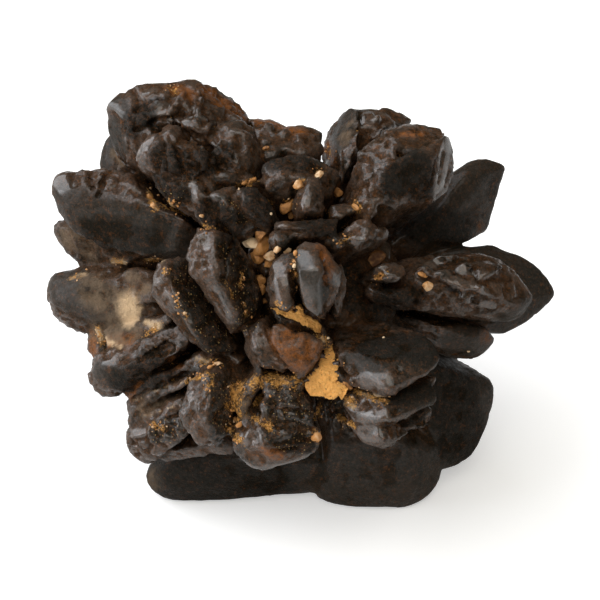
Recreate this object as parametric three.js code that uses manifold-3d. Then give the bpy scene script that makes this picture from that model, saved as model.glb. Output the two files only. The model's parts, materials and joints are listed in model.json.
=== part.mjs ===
// A prophecy stone: a loose rosette of iron-oxide blades that grew together from one heart, with
// sandy soil left in the clefts between them.
// The blades are laid out in the rosette's own frame, in millimetres from its heart: U to the
// right, V up the rosette's face and W straight out of the face. The rosette then leans back and
// stands on the tips of its lowest blades. Row frame: +Z up, face towards -Y, origin at the bottom
// centre of the stone.
import * as THREE from "three";
import { ConvexGeometry } from "three/addons/geometries/ConvexGeometry.js";
import { mergeVertices } from "three/addons/utils/BufferGeometryUtils.js";
import Module from "manifold-3d";

const wasm = await Module();
wasm.setup();

// ---- driving dimensions, mm ----
const LEAN = 35; // degrees: how far the rosette's face looks up from level
const REST_DEPTH = 14.65; // from the heart down to the plane that the stone stands on
// The worn spots that it stands on: X and Y from the heart, radius; and how far they stick out.
const LOW_SPOTS = [
  [-9.4, -4.8, 1.3],
  [7.4, -5.4, 1.6],
  [0.5, 6.3, 1.9],
];
const SPOT_HEIGHT = 0.25;
const SPOT_SIDES = 7;
const BLOCK = 100; // side of a block larger than the stone
const HEART_RADIUS = [8, 7.4, 7.2]; // solid middle that the blades grow from, along U, V and W
const CHAMFER = 0.36; // corner cut of a blade, as a share of its half thickness
const IRREGULAR = 0.045; // wander of a blade's corners, as a share of its thickness
const REAR_BLADES = 24;
const REAR_REACH = [11.6, 14.2]; // from the heart to a rear blade's tip
const GOLDEN_ANGLE = Math.PI * (3 - Math.sqrt(5));
const REAR_DRAW = 0.97; // size of the copy that gives a crystal its back, as a share of its front
const SLIVER = 0.02; // steps finer than this are merged away
const SOIL_GAP = 0.3; // clearance between the soil and the stone round it

const STONE_COLOUR = 0x3a2c24;
const SOIL_COLOUR = 0xb98a4e;

// ---- small helpers ----
let state = 7;
// Repeatable random number from -1 to 1.
function wander() {
  state = (state * 16807) % 2147483647;
  return (2 * state) / 2147483647 - 1;
}

const vector = (p) => new THREE.Vector3(...p);
const mix = (low, high) => (low + high) / 2 + (wander() * (high - low)) / 2;

function solidOf(geometry) {
  geometry.deleteAttribute("normal");
  geometry.deleteAttribute("uv");
  const merged = mergeVertices(geometry, 1e-4);
  return new wasm.Manifold(
    new wasm.Mesh({
      numProp: 3,
      vertProperties: merged.attributes.position.array,
      triVerts: new Uint32Array(merged.index.array),
    }),
  );
}

const hull = (points) => solidOf(new ConvexGeometry(points));

// A blade is the convex hull of three eight-cornered sections, centred on its root, its shoulder
// and its tip. face is roughly the way its broad side looks; wide and thick are its sizes at the
// three sections.
function blade(root, shoulder, tip, face, wide, thick) {
  const along = vector(shoulder).sub(vector(root)).normalize();
  const normal = vector(face).addScaledVector(along, -vector(face).dot(along)).normalize();
  const across = new THREE.Vector3().crossVectors(along, normal);
  const loose = IRREGULAR * Math.min(thick[1], 3);
  const corners = [];
  [root, shoulder, tip].forEach((centre, i) => {
    const a = wide[i] / 2;
    const b = thick[i] / 2;
    const cut = Math.min(a, b) * CHAMFER;
    for (const [x, y] of [
      [a - cut, b],
      [a, b - cut],
      [a, cut - b],
      [a - cut, -b],
      [cut - a, -b],
      [-a, cut - b],
      [-a, b - cut],
      [cut - a, b],
    ]) {
      corners.push(
        vector(centre)
          .addScaledVector(along, wander() * loose * 1.5)
          .addScaledVector(across, x + wander() * loose)
          .addScaledVector(normal, y + wander() * loose),
      );
    }
  });
  return hull(corners);
}

// A blade with smaller ones grown against it in the same direction, which give it steps.
function bundle(count, root, shoulder, tip, face, wide, thick) {
  const grown = [blade(root, shoulder, tip, face, wide, thick)];
  const start = vector(root);
  const along = vector(shoulder).sub(start).normalize();
  const reach = vector(tip).sub(start).dot(along);
  const normal = vector(face).addScaledVector(along, -vector(face).dot(along)).normalize();
  const across = new THREE.Vector3().crossVectors(along, normal);
  for (let i = 0; i < count; i++) {
    const side = i % 2 ? 1 : -1;
    const breadth = wide[1] * mix(0.32, 0.6);
    const depth = thick[1] * mix(0.45, 0.7);
    const sideways = (wide[1] - breadth) * 0.5 * wander();
    const outward = side * (thick[1] - depth) * 0.5 + side * mix(0.12, 0.42);
    const far = reach * mix(0.72, 0.94);
    const place = (share) =>
      start
        .clone()
        .addScaledVector(along, far * share)
        .addScaledVector(across, sideways)
        .addScaledVector(normal, outward * Math.min(share * 1.2, 1))
        .toArray();
    grown.push(
      blade(
        place(0.3),
        place(0.88),
        place(1),
        face,
        [breadth, breadth, breadth * 0.66],
        [depth, depth, depth * 0.6],
      ),
    );
  }
  return grown;
}

// A crystal that was worn to a shape of its own is the convex hull of the corners that show, of the
// same corners drawn in towards its root, and of a copy that many mm behind them.
function crystal(share, behind, root, shown) {
  const start = vector(root);
  const corners = shown.flatMap(([u, v, w]) => [
    vector([u, v, w]),
    start.clone().lerp(vector([u, v, w]), share),
    vector([u * REAR_DRAW, v * REAR_DRAW, w - behind]),
  ]);
  return hull(corners);
}

// ---- the heart ----
function heart() {
  const shape = new THREE.IcosahedronGeometry(1, 1);
  shape.scale(...HEART_RADIUS);
  return solidOf(shape);
}

// ---- the crystals that face forward, by where they stand ----
// Each is: share, how far it goes back, root, corners.
const middle = [
  // left twin
  crystal(0.5, 0, [0, 0, 0], [
    [-1.93, 1.22, 11.7], [-0.84, 1.36, 12.1], [-0.86, -1.03, 11.95], [-1.84, -0.85, 11.5],
    [-1.22, -1.22, 11.6], [-1.89, 2.27, 10.9], [-1.23, 2.98, 10.7], [-0.47, 3.02, 10.8],
    [-0.4, 2.36, 11.2], [-2.36, 1.13, 10.9], [-2.46, 0, 10.8], [-2.22, -0.95, 10.8],
    [-0.42, 0.75, 11.4], [-0.52, -1.13, 11.3],
  ]),
  // right twin
  crystal(0.5, 0, [0, 0, 0], [
    [-0.23, 1.73, 12.55], [1.19, 1.82, 12.75], [1.22, 0.19, 12.35], [1.13, -1.6, 11.9],
    [0.38, -0.99, 11.95], [0, 0.28, 12.2], [-0.42, 2.91, 11.8], [1.03, 2.96, 11.95], [-0.33, 3.4, 11.2],
    [0.28, 3.92, 10.8], [1.23, 3.73, 10.8], [2.08, 3.22, 10.7], [2.45, 2.45, 11.1], [2.88, 1.42, 10.9],
    [2.74, 0.57, 10.9], [2.27, -0.57, 10.9], [1.7, -1.8, 10.7], [-0.38, 2.17, 11.3],
    [0.09, -0.57, 11.2],
  ]),
  // thin blade behind the right twin
  crystal(0.5, 0, [0, 0, 0], [
    [2.76, 2.29, 9.2], [3.33, 0.95, 9.8], [3.28, 0.38, 9.8], [3, -1.24, 9.4], [2.58, -1.91, 9],
    [2.37, -0.47, 10], [2.56, 1.33, 10.2],
  ]),
  // tall plate left of the twins
  crystal(0.5, 0, [-1, -2, 0], [
    [-6.26, 4.36, 10.2], [-6.04, 3.21, 11.1], [-5.89, 1.88, 11.4], [-5.66, 0.75, 11.3],
    [-4.92, -0.76, 10.8], [-4.18, -2.18, 10], [-7.24, 4.67, 9.4], [-7.8, 3.71, 9.6], [-8.17, 2.66, 9.8],
    [-7.98, 1.8, 9.9], [-7.41, 1.04, 9.9], [-6.56, -0.1, 9.8], [-5.81, -1.43, 9.4], [-4.97, -2.87, 8.8],
    [-4.88, 4.21, 8.6], [-4.02, 2.87, 8.6], [-3.63, 1.72, 8.6], [-3.25, 0.19, 8.6], [-3.16, -1.43, 8.6],
  ]),
  // lower plate beside it
  crystal(0.5, 0, [-1, -3, 0], [
    [-9.43, 1.62, 9.4], [-9.13, 0.38, 9.7], [-8.75, -0.76, 9.7], [-8.19, -1.9, 9.5],
    [-7.24, -3.14, 9.3], [-6.49, -4.11, 8.9], [-10.26, 2.21, 8.1], [-10.54, 1.25, 8.2],
    [-10.65, 0.19, 8], [-9.98, -0.86, 7.9], [-8.84, -2.11, 7.8], [-7.78, -3.46, 7.7],
    [-6.92, -4.32, 7.8], [-9.4, 2.78, 8], [-8.08, 2.89, 7.4], [-6.76, 0.97, 6.8], [-5.38, -2.4, 7.6],
    [-5.17, -4.02, 8.3],
  ]),
  // brown facet under the twins
  crystal(0.5, 0, [0, 0, 0], [
    [-2.09, -2.37, 9.9], [-1.33, -1.9, 9.8], [-0.38, -1.85, 9.7], [0.38, -2.05, 9.6],
    [0.95, -2.57, 9.6], [1.48, -3.33, 9.5], [1.38, -4.47, 9.5], [0.67, -5.71, 9.4], [-0.19, -6.1, 9.4],
    [-0.86, -5.51, 9.7], [-1.52, -4.65, 10], [-1.99, -3.7, 10.1], [0.19, -3.04, 9.95],
    [0.09, -4.75, 10],
  ]),
  // grey facet left of it
  crystal(0.5, 0, [0, 0, 0], [
    [-3.9, -2.38, 9.4], [-2.95, -1.81, 9.4], [-2.47, -2.19, 9.5], [-2.18, -3.32, 10.1],
    [-1.8, -4.18, 10], [-1.14, -5.04, 9.7], [-1.14, -5.72, 9.2], [-2.66, -5.23, 9.6],
    [-3.04, -4.65, 9.9], [-3.13, -2.85, 10],
  ]),
  // striped edge left of that
  crystal(0.5, 0, [0, 0, 0], [
    [-4.3, -2.48, 8.9], [-3.72, -2.19, 9.2], [-3.52, -3.62, 9.5], [-3.05, -4.95, 9.5],
    [-2.86, -5.82, 9], [-3.44, -5.16, 8.6], [-4.01, -3.82, 8.7],
  ]),
  // chip right of the facet
  crystal(0.5, 0, [0, 0, 0], [
    [1.05, -2.19, 9.2], [1.81, -2.29, 9], [2.29, -3.24, 9.2], [2.19, -4.01, 9.1], [1.62, -3.81, 9.3],
    [1.24, -2.76, 9.5],
  ]),
];

const top = [
  // lens-shaped plate across the top of the twins
  crystal(0.5, 0, [0, 0, 0], [
    [-1.42, 4.74, 10.4], [-1.9, 5.13, 9.8], [-0.95, 5.33, 9.6], [0.86, 5.33, 9.6], [2.67, 5.44, 9],
    [2.47, 4.47, 9.6], [0.57, 4.08, 10.3], [-1.14, 4.27, 10.2], [-1.8, 4.46, 10], [0.38, 4.73, 10.6],
  ]),
  // rough lump beside it
  crystal(0.5, 0, [0, 0, 0], [
    [-2.38, 3.81, 9.4], [-2.1, 4.48, 9.2], [-1.33, 4.37, 9.8], [-0.66, 3.99, 10], [-1.14, 3.32, 10],
    [-2.09, 3.14, 9.6], [-1.52, 3.79, 10.3],
  ]),
  // lump right of the twins
  crystal(0.5, 0, [0, 0, 0], [
    [3.04, 3.99, 9.7], [4.1, 3.24, 9.3], [4.56, 3.99, 9.9], [4.95, 4.76, 9.4], [4.4, 5.55, 8.5],
    [3.72, 5.16, 8.9], [3.05, 4.77, 9], [2.2, 3.73, 8.8], [6.26, 4.72, 7.4], [6.35, 3.85, 7.4],
    [5.27, 3.45, 8.3],
  ]),
  // ridge between the lump and the lens
  crystal(0.5, 0, [0, 0, 0], [
    [1.52, 3.71, 9.6], [2.47, 4.09, 9.6], [3.15, 3.62, 9.2], [2.48, 3.15, 9.2], [3.06, 4.68, 8.8],
  ]),
  // small prism with a smooth facet
  crystal(0.5, 0, [0, 0, 0], [
    [0.14, 6.09, 9.7], [0.62, 6.37, 9.7], [0.76, 7.14, 9.4], [0.33, 7.24, 9.4], [-0.05, 6.76, 9.5],
    [1.34, 8.43, 8.2], [0.67, 8.34, 8.2], [-0.38, 7.38, 8.3], [-0.77, 6.32, 8.5], [-0.48, 5.64, 8.6],
    [1.63, 6.69, 8.6], [1.53, 5.74, 8.6], [1.53, 7.86, 8.2],
  ]),
  // dark lens-shaped plate behind it
  crystal(0.5, 0, [0, 0, 0], [
    [-3.08, 8.18, 7.5], [-2.79, 9.33, 7.5], [-1.92, 9.72, 7.4], [-0.87, 10.03, 7], [0.29, 10.14, 6.8],
    [1.55, 9.86, 6.5], [2.32, 9.29, 6.3], [2.91, 8.53, 6], [2.32, 7.14, 6.8], [-1.44, 7.11, 7.8],
    [-2.49, 7.67, 8.2], [0.19, 8.43, 8.3], [-1.34, 8.42, 8.6], [1.54, 8.08, 7.6],
  ]),
  // small plate right of the prism
  crystal(0.5, 0, [0, 0, 0], [
    [1.92, 5.95, 8], [2.11, 6.53, 7.8], [3.46, 6.74, 7.4], [3.84, 6.05, 7.8], [3.06, 5.55, 8.4],
    [2.2, 5.65, 8.3],
  ]),
  // block behind the dark lens
  crystal(0.4, 0, [0, 0, 0], [
    [-1.18, 12.38, 3.4], [-0.1, 12.4, 3.2], [0.89, 12.21, 3], [1.58, 11.82, 3], [1.47, 10.65, 4.6],
    [0.19, 10.28, 6], [-0.97, 10.58, 5.8], [-2.04, 10.99, 5.4], [-0.39, 11.7, 5], [0.88, 11.52, 4.6],
    [-1.86, 12.04, 4.2],
  ]),
  // block left of that
  crystal(0.4, 0, [0, 0, 0], [
    [-3.85, 12.93, 2.6], [-3.06, 13.04, 2.4], [-1.88, 12.94, 2.4], [-0.99, 12.53, 2.6],
    [-1.17, 11.51, 4.8], [-2.34, 12.11, 4.6], [-3.52, 12.12, 4.4], [-2.14, 10.69, 5.6],
    [-2.91, 9.89, 6], [-1.74, 10.07, 6.2],
  ]),
  // left prism of a pair
  crystal(0.48, 0, [0, 0, 0], [
    [-6.34, 7.05, 9.3], [-6.64, 6.88, 8.8], [-6.31, 7.36, 8.8], [-5.35, 7.55, 8.7], [-4.69, 7.66, 8.4],
    [-4.39, 6.88, 8.8], [-4.1, 6.01, 9], [-3.44, 5.07, 8.6], [-4.21, 4.12, 8.4], [-4.88, 4.21, 8.4],
    [-5.84, 5.65, 8.5], [-4.95, 6.28, 9.5], [-5.33, 7.05, 9.4],
  ]),
  // right prism of the pair
  crystal(0.48, 0, [0, 0, 0], [
    [-3.99, 7.02, 10], [-4.67, 7.05, 9.2], [-4.49, 7.54, 9], [-3.72, 7.73, 9], [-3.06, 7.54, 8.9],
    [-2.38, 6.68, 9.1], [-1.53, 5.64, 8.6], [-1.91, 4.88, 8.6], [-2.77, 4.68, 8.7], [-3.34, 4.97, 8.8],
    [-4.19, 6.19, 9.3], [-2.85, 5.9, 9.7], [-2.29, 5.34, 9.2],
  ]),
  // prism under the great block
  crystal(0.5, 0, [0, 0, 0], [
    [-8.05, 7.67, 8.2], [-7.47, 8.05, 8.3], [-6.62, 8.16, 8], [-5.95, 7.68, 8], [-7.26, 7.54, 8.9],
    [-7.26, 6.5, 8.7], [-7.87, 5.86, 7.9], [-7.3, 4.99, 7.8], [-5.95, 4.51, 8], [-5.37, 4.99, 8],
    [-6.5, 6.69, 8.6],
  ]),
];

const upperLeft = [
  // the great block
  crystal(0.3, 2.2, [0, 0, 0], [
    [-14.04, 13.8, 4.2], [-13.53, 14.42, 3.8], [-12.96, 14.78, 3.6], [-11.9, 14.34, 4.8],
    [-11.63, 13.72, 5.3], [-12.33, 13.1, 5.8], [-12.62, 12.72, 5.7], [-14.19, 13.06, 3.6],
    [-13.97, 11.81, 3.2], [-13.39, 10.24, 3], [-12.78, 9.53, 3.4], [-11.99, 9.94, 5],
    [-12.23, 11.84, 5.8], [-10.63, 11.79, 6.6], [-9.47, 8.7, 6.6],
  ]),
  // its lumpy top
  crystal(0.3, 1.6, [0, 0, 0], [
    [-12.57, 14.92, 3.6], [-12.08, 15.22, 3.6], [-11, 15.46, 3.6], [-9.52, 15.51, 3.6],
    [-11.48, 14.2, 5.4], [-10.1, 14.57, 5.6], [-8.92, 14.25, 6], [-10.84, 12.77, 6.4],
    [-9.27, 12.75, 6.8], [-11.65, 13.21, 5.7],
  ]),
  // lump right of that
  crystal(0.3, 1.6, [0, 0, 0], [
    [-9.63, 15.52, 3.5], [-8.65, 15.68, 3.4], [-7.77, 15.68, 3.3], [-7.08, 15.49, 3.2],
    [-9.24, 14.6, 5.3], [-7.2, 14.59, 5.4], [-6.7, 13.99, 5.6], [-8.52, 13.17, 6.2],
    [-7.17, 12.98, 6.2], [-7.75, 13.76, 6.1],
  ]),
  // its shoulder
  crystal(0.3, 1.6, [0, 0, 0], [
    [-7.48, 15.51, 3], [-6.41, 15.38, 2.8], [-6.02, 14.85, 2.6], [-5.14, 14.32, 2.4],
    [-4.35, 13.75, 2.2], [-3.9, 12.94, 2.4], [-6.24, 14.05, 4.8], [-5.08, 13.28, 4.6],
    [-4.48, 12.48, 5], [-6.69, 12.6, 6], [-7.22, 14.24, 4.8],
  ]),
  // lobe in front, left end
  crystal(0.4, 0, [0, 0, 0], [
    [-11.91, 9.78, 6.3], [-11.76, 10.26, 6.3], [-11.51, 10.93, 6.5], [-10.83, 11.41, 6.5],
    [-10.24, 11.59, 6.7], [-10.84, 9.88, 8.1], [-10.35, 10.64, 8.2], [-9.59, 11.32, 8.1],
    [-11.79, 9.28, 6.6], [-11.19, 8.68, 7], [-10.55, 8.64, 8], [-10.2, 7.7, 7.4], [-9.17, 9.17, 8.9],
    [-9.17, 10.51, 8.8],
  ]),
  // its upper lump
  crystal(0.4, 0, [0, 0, 0], [
    [-10.04, 11.88, 6.8], [-9.57, 12.28, 6.6], [-9.08, 12.17, 6.8], [-8.57, 11.55, 7.4],
    [-9.5, 11.61, 8], [-8.9, 11.11, 8.4], [-8.7, 10.13, 8.7], [-9.77, 10.72, 8.4],
  ]),
  // its middle
  crystal(0.4, 0, [0, 0, 0], [
    [-9.01, 10.54, 8.2], [-7.88, 11.44, 7.6], [-6.72, 10.75, 8], [-6.13, 9.78, 8.2], [-6.32, 8.24, 8.3],
    [-8.43, 7.86, 8.2], [-9.39, 8.43, 8.3], [-8.4, 9.73, 9], [-7.06, 9.35, 9],
  ]),
  // its lower rim
  crystal(0.4, 0, [0, 0, 0], [
    [-10.9, 8.4, 6.9], [-10.42, 7.52, 7], [-9.73, 6.84, 7.2], [-9.05, 6.35, 7.4], [-8.08, 6.15, 7.6],
    [-9.78, 8.05, 8.2], [-8.42, 7.46, 8.5], [-7.66, 8.04, 8.4], [-8.63, 6.62, 8.1],
  ]),
  // lump between the lobe and the top
  crystal(0.4, 0, [0, 0, 0], [
    [-8.88, 12.26, 6.8], [-8.32, 12.87, 6.4], [-7.56, 13.38, 6], [-6.86, 12.76, 6.6],
    [-6.55, 12.04, 7.2], [-7.31, 11.73, 7.6], [-8.38, 11.94, 7.3], [-7.6, 12.51, 7.4],
  ]),
  // block at the right end
  crystal(0.4, 0, [0, 0, 0], [
    [-6.66, 11.59, 6.8], [-6.02, 12.52, 5.8], [-5.15, 12.73, 5.6], [-4.28, 12.53, 5.6],
    [-3.4, 12.04, 5.8], [-2.81, 11.04, 6.2], [-2.9, 10.25, 6.6], [-3.47, 9.25, 7.2], [-4.42, 8.65, 7.6],
    [-5.76, 8.93, 7.8], [-6.35, 10.19, 7.6], [-4.81, 11.54, 7.6], [-3.75, 10.77, 7.6],
    [-4.98, 9.77, 8.4],
  ]),
  // foot of that block
  crystal(0.4, 0, [0, 0, 0], [
    [-5.95, 9.03, 7.8], [-4.23, 9.03, 7.7], [-3.27, 8.46, 7.6], [-3.65, 7.88, 7.8], [-5.18, 7.87, 8],
    [-6.71, 8.05, 8.2], [-5.36, 8.52, 8.5],
  ]),
  // blade behind the great block
  crystal(0.25, 2.4, [0, 0, 0], [
    [-14.62, 11.69, -1.6], [-14.11, 12.3, -1.6], [-15.25, 9.6, -2], [-14.75, 9.09, -2], [-12.5, 9, 0],
    [-12.37, 11.98, 0.4],
  ]),
];

const leftSide = [
  // upper blade
  crystal(0.3, 2.6, [0, 0, 0], [
    [-18.21, 8.12, 2], [-18.08, 8.72, 1.8], [-17.66, 9.13, 1.6], [-17.06, 9.22, 1.6],
    [-17.09, 8.89, 2.4], [-16.9, 7.67, 3.4], [-17.84, 7.79, 2.8], [-18.15, 7.22, 2.2],
    [-17.74, 5.75, 1.8], [-17.23, 6.11, 3], [-16.68, 4.54, 2.6], [-14.17, 3.34, 3.2], [-11.76, 2.94, 4],
    [-9.16, 3.12, 5], [-8.52, 5.42, 6.2], [-10.68, 6.41, 5.8], [-14.08, 7.63, 4.4], [-12.83, 9.08, 2.6],
    [-14.83, 9.2, 2.2],
  ]),
  // its rough crown
  crystal(0.4, 0, [0, 0, 0], [
    [-16.61, 9.1, 2.2], [-16.3, 8.05, 3.6], [-15.43, 9.1, 2.2], [-15.19, 7.84, 3.9], [-14.6, 7.45, 4],
    [-14.03, 9.29, 2.4], [-13.1, 8.21, 4.4], [-12.38, 8.94, 3.4], [-11.89, 7.8, 5], [-13.66, 7.22, 4.8],
  ]),
  // blade under it
  crystal(0.3, 2.4, [0, 0, 0], [
    [-18.02, 5.61, -0.2], [-18.44, 5.21, -0.4], [-18.51, 4.71, -0.6], [-18.16, 4.11, -0.6],
    [-17.55, 3.21, -0.6], [-17.25, 2.86, -0.6], [-16.63, 2.66, -0.4], [-16.43, 2.1, -0.4],
    [-17.31, 4.97, 1], [-16.48, 3.77, 1.4], [-12.84, 2.17, 2.4], [-11.79, 3.34, 3.4],
  ]),
  // lower blade
  crystal(0.3, 2.6, [0, 0, 0], [
    [-18.89, 0.3, -0.4], [-18.74, 1.1, -0.4], [-18.25, 1.6, -0.5], [-17.34, 1.85, -0.5],
    [-16.23, 2, -0.4], [-18.13, 0.9, 0.8], [-18.12, -0.7, 0.9], [-18.74, -0.7, -0.4],
    [-18.45, -1.5, -0.5], [-17.95, -2.06, -0.5], [-17.04, -2.51, -0.5], [-15.82, 1.19, 2.2],
    [-15.82, -1.19, 2.2], [-13.89, 2.08, 1.6], [-10.77, 0.39, 4.2], [-10.75, -1.37, 4.4],
    [-13.43, -2.57, 2.4], [-16.2, -2.9, 0],
  ]),
  // small plate on it
  crystal(0.3, 0, [0, 0, 0], [
    [-13.01, 1.58, 2.8], [-12.42, 1.97, 2.8], [-11, 1.77, 3.6], [-10.73, 0.59, 4.8],
    [-10.73, -0.59, 4.9], [-12.14, -0.78, 4.2], [-12.47, 0.59, 3.6],
  ]),
  // bit in the notch
  crystal(0.3, 1.6, [0, 0, 0], [
    [-15.95, -3.29, 0.6], [-15.54, -2.59, 0.8], [-15.11, -1.99, 1.2], [-14.76, -2.97, 1.8],
    [-14.86, -4.36, 1.8], [-15.41, -4.67, 1.2], [-15.89, -4.18, 0.8],
  ]),
  // low blade between the lower blade and the next
  crystal(0.4, 0, [0, 0, 0], [
    [-14.63, -2.57, 2.2], [-13.82, -2.37, 2.6], [-12.15, -2.35, 4], [-11.52, -2.93, 4.6],
    [-10.32, -1.85, 5.2], [-9.74, -1.36, 5.2], [-9.33, -1.75, 5.6], [-11.11, -3.12, 5],
    [-12.12, -3.52, 4.4], [-14.39, -3.84, 2.8], [-13.14, -3.14, 3.8],
  ]),
];

const lowerLeft = [
  // blunt blade
  crystal(0.35, 2.2, [0, 0, 0], [
    [-15.36, -4.83, 3], [-14.97, -4.23, 3], [-14.3, -4.31, 4], [-13.47, -4.39, 4.7], [-13.16, -4.97, 5],
    [-14.44, -5.27, 4.8], [-15.51, -5.61, 3], [-15.53, -6.31, 2.8], [-15.18, -7, 2.8],
    [-14.69, -7.49, 2.8], [-14.08, -7.63, 3], [-13.38, -7.38, 3.2], [-14.08, -6.45, 4.4],
    [-12.74, -6.96, 4], [-11.71, -3.51, 4.8], [-10.7, -2.72, 5.4], [-8.72, -2.13, 6.2],
    [-7.92, -3.28, 6.8], [-9.08, -4.25, 6.8], [-12.24, -5.44, 5.6],
  ]),
  // its knobby back
  crystal(0.4, 0, [0, 0, 0], [
    [-12.88, -4.59, 4.8], [-12.28, -3.8, 5], [-11.08, -3.3, 5.6], [-10.08, -2.62, 6],
    [-9.47, -3.09, 6.6], [-10.64, -3.87, 6.4], [-12.04, -4.56, 5.8], [-12.44, -5.25, 5.6],
  ]),
  // first thin plate
  crystal(0.4, 0.5, [0, 0, 0], [
    [-12.9, -7.39, 3], [-12.17, -6.87, 3.6], [-11.54, -6.26, 4.4], [-9.52, -5.25, 5.6],
    [-7.93, -4.74, 6.4], [-7.74, -5.22, 6.4], [-9.51, -5.92, 5.8], [-11.52, -6.74, 4.6],
    [-12.57, -7.56, 3.6],
  ]),
  // second thin plate
  crystal(0.4, 0.6, [0, 0, 0], [
    [-12.85, -7.78, 3], [-12.7, -8.57, 3], [-11.76, -7.64, 4], [-9.93, -6.72, 5.2], [-8.22, -5.9, 6.4],
    [-8.02, -6.38, 6.6], [-9.72, -7.19, 5.6], [-11.54, -8.11, 4.4], [-12.38, -8.84, 3.4],
  ]),
  // third thin plate
  crystal(0.4, 0.6, [0, 0, 0], [
    [-12.65, -8.76, 3], [-12.61, -9.45, 3], [-11.56, -8.92, 4], [-10.54, -8.59, 4.8], [-8.92, -7.66, 6],
    [-8.33, -8.14, 6.2], [-9.32, -8.74, 5.8], [-10.73, -9.37, 4.8], [-12.08, -9.72, 3.6],
  ]),
  // blade under the plates
  crystal(0.35, 2, [0, 0, 0], [
    [-12.68, -9.67, 2.6], [-12.83, -10.26, 2.6], [-12.89, -10.87, 2.4], [-12.56, -11.57, 2.2],
    [-11.87, -12.11, 2.2], [-11.17, -12.46, 2.2], [-12.17, -9.62, 3.6], [-11.35, -9.59, 4.2],
    [-10.84, -10.15, 4.7], [-12.34, -10.48, 4], [-11.56, -11.36, 4], [-9.73, -9.14, 5.4],
    [-8.73, -8.92, 6], [-8.34, -10.08, 6], [-9.57, -11.33, 4.6], [-10.6, -11.78, 3.6],
  ]),
  // slab behind it
  crystal(0.35, 1.4, [0, 0, 0], [
    [-10.91, -11.8, 1.6], [-9.43, -11.4, 3.4], [-7.42, -10.94, 4.6], [-5.45, -10.9, 5.2],
    [-4.88, -11.51, 4.8], [-6.87, -11.78, 3.6], [-9.91, -12.29, 1.8],
  ]),
  // dark plate in the gap
  crystal(0.4, 0, [0, 0, 0], [
    [-8.16, -4.47, 5.6], [-7.15, -4.25, 6.6], [-5.21, -4.34, 7], [-4.43, -5.01, 7.2], [-5.21, -5.79, 7],
    [-7.14, -5.41, 6.8], [-8.35, -5.44, 5.8],
  ]),
];

const lowerFront = [
  // standing blade
  crystal(0.5, 0, [0, 0, 0], [
    [-6.68, -5.73, 9], [-6.6, -6.84, 9.8], [-6.65, -8.07, 10], [-6.56, -9.12, 9.8],
    [-6.39, -10.11, 9.1], [-7.58, -5.66, 8], [-8.15, -6.61, 8.2], [-8.72, -8.05, 8.2],
    [-8.73, -8.82, 8.1], [-8.44, -9.4, 8], [-7.59, -10.57, 7.8], [-6.72, -10.75, 7.9],
    [-5.29, -5.67, 7.7], [-4.79, -6.9, 8.3], [-4.88, -8.62, 8.4], [-5.28, -9.98, 8],
    [-5.95, -10.56, 7.9],
  ]),
  // ridge beside it
  crystal(0.5, 0, [0, 0, 0], [
    [-3.15, -5.73, 8.8], [-3.63, -6.11, 8.9], [-4.5, -6.7, 8.4], [-4.78, -7.84, 8.6],
    [-4.69, -8.51, 8.6], [-4.3, -8.89, 8.6], [-3.81, -8.39, 9.3], [-4.1, -7.24, 9.4],
    [-3.24, -7.25, 9.2], [-2.68, -6.31, 8.8],
  ]),
  // step under the brown facet
  crystal(0.5, 0, [0, 0, 0], [
    [-2.77, -5.93, 8.6], [-1.72, -6.02, 8.8], [-0.29, -6.11, 8.8], [0.29, -6.59, 8.9],
    [0.76, -7.35, 8.9], [-0.86, -7.24, 9.4], [-2.29, -7.24, 9.4], [-2.86, -6.87, 9],
  ]),
  // upper block
  crystal(0.5, 0, [0, 0, 0], [
    [-2.85, -7.9, 9.6], [-2.1, -7.43, 9.3], [-0.48, -7.25, 9.2], [0.86, -7.44, 9], [0.95, -9.14, 9.4],
    [0.76, -9.53, 9.3], [-1.14, -7.88, 9.9], [-2.47, -8.25, 10.2], [-2.94, -9.02, 9.9],
    [-2.28, -9.49, 10.1], [-0.57, -9.11, 10],
  ]),
  // middle step
  crystal(0.5, 0, [0, 0, 0], [
    [-3.43, -9.24, 9.4], [-2.76, -9.03, 9.8], [-0.76, -9.12, 9.8], [0.95, -9.34, 9.2],
    [1.43, -10.03, 8.8], [1.15, -10.5, 9], [-1.14, -9.96, 10.2], [-2.65, -9.86, 10.3],
    [-3.61, -9.88, 9.8],
  ]),
  // lower block
  crystal(0.5, 0, [0, 0, 0], [
    [-4.19, -9.71, 9.4], [-3.03, -9.67, 10.3], [-2.65, -10.6, 10.5], [-4.68, -10.22, 8.9],
    [-4.98, -10.72, 8.4], [-4.79, -11.2, 8.4], [-4.21, -11.68, 8.4], [-3.54, -12.36, 8.3],
    [-2.78, -12.54, 8.4], [-1.91, -12.34, 8.6], [-1.05, -11.94, 8.8], [0.77, -11.39, 8.5],
    [1.34, -10.71, 8.6], [-0.38, -10.45, 9.9], [-1.71, -11.3, 10],
  ]),
  // left rim of the lower block
  crystal(0.5, 0, [0, 0, 0], [
    [-5.09, -9.98, 8], [-4.6, -9, 8.4], [-3.82, -8.59, 9], [-3.43, -9.14, 9.5], [-4.19, -9.91, 9.3],
    [-5.18, -10.55, 8],
  ]),
  // block right of it
  crystal(0.5, 0, [0, 0, 0], [
    [1.19, -7.64, 9], [2.48, -7.44, 9], [3.24, -8.01, 9.2], [3.05, -8.67, 9.3], [1.91, -9.06, 9.2],
    [1.24, -9.25, 9.2], [1.33, -8.37, 9.7], [2.66, -8.08, 9.7],
  ]),
];

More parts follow.
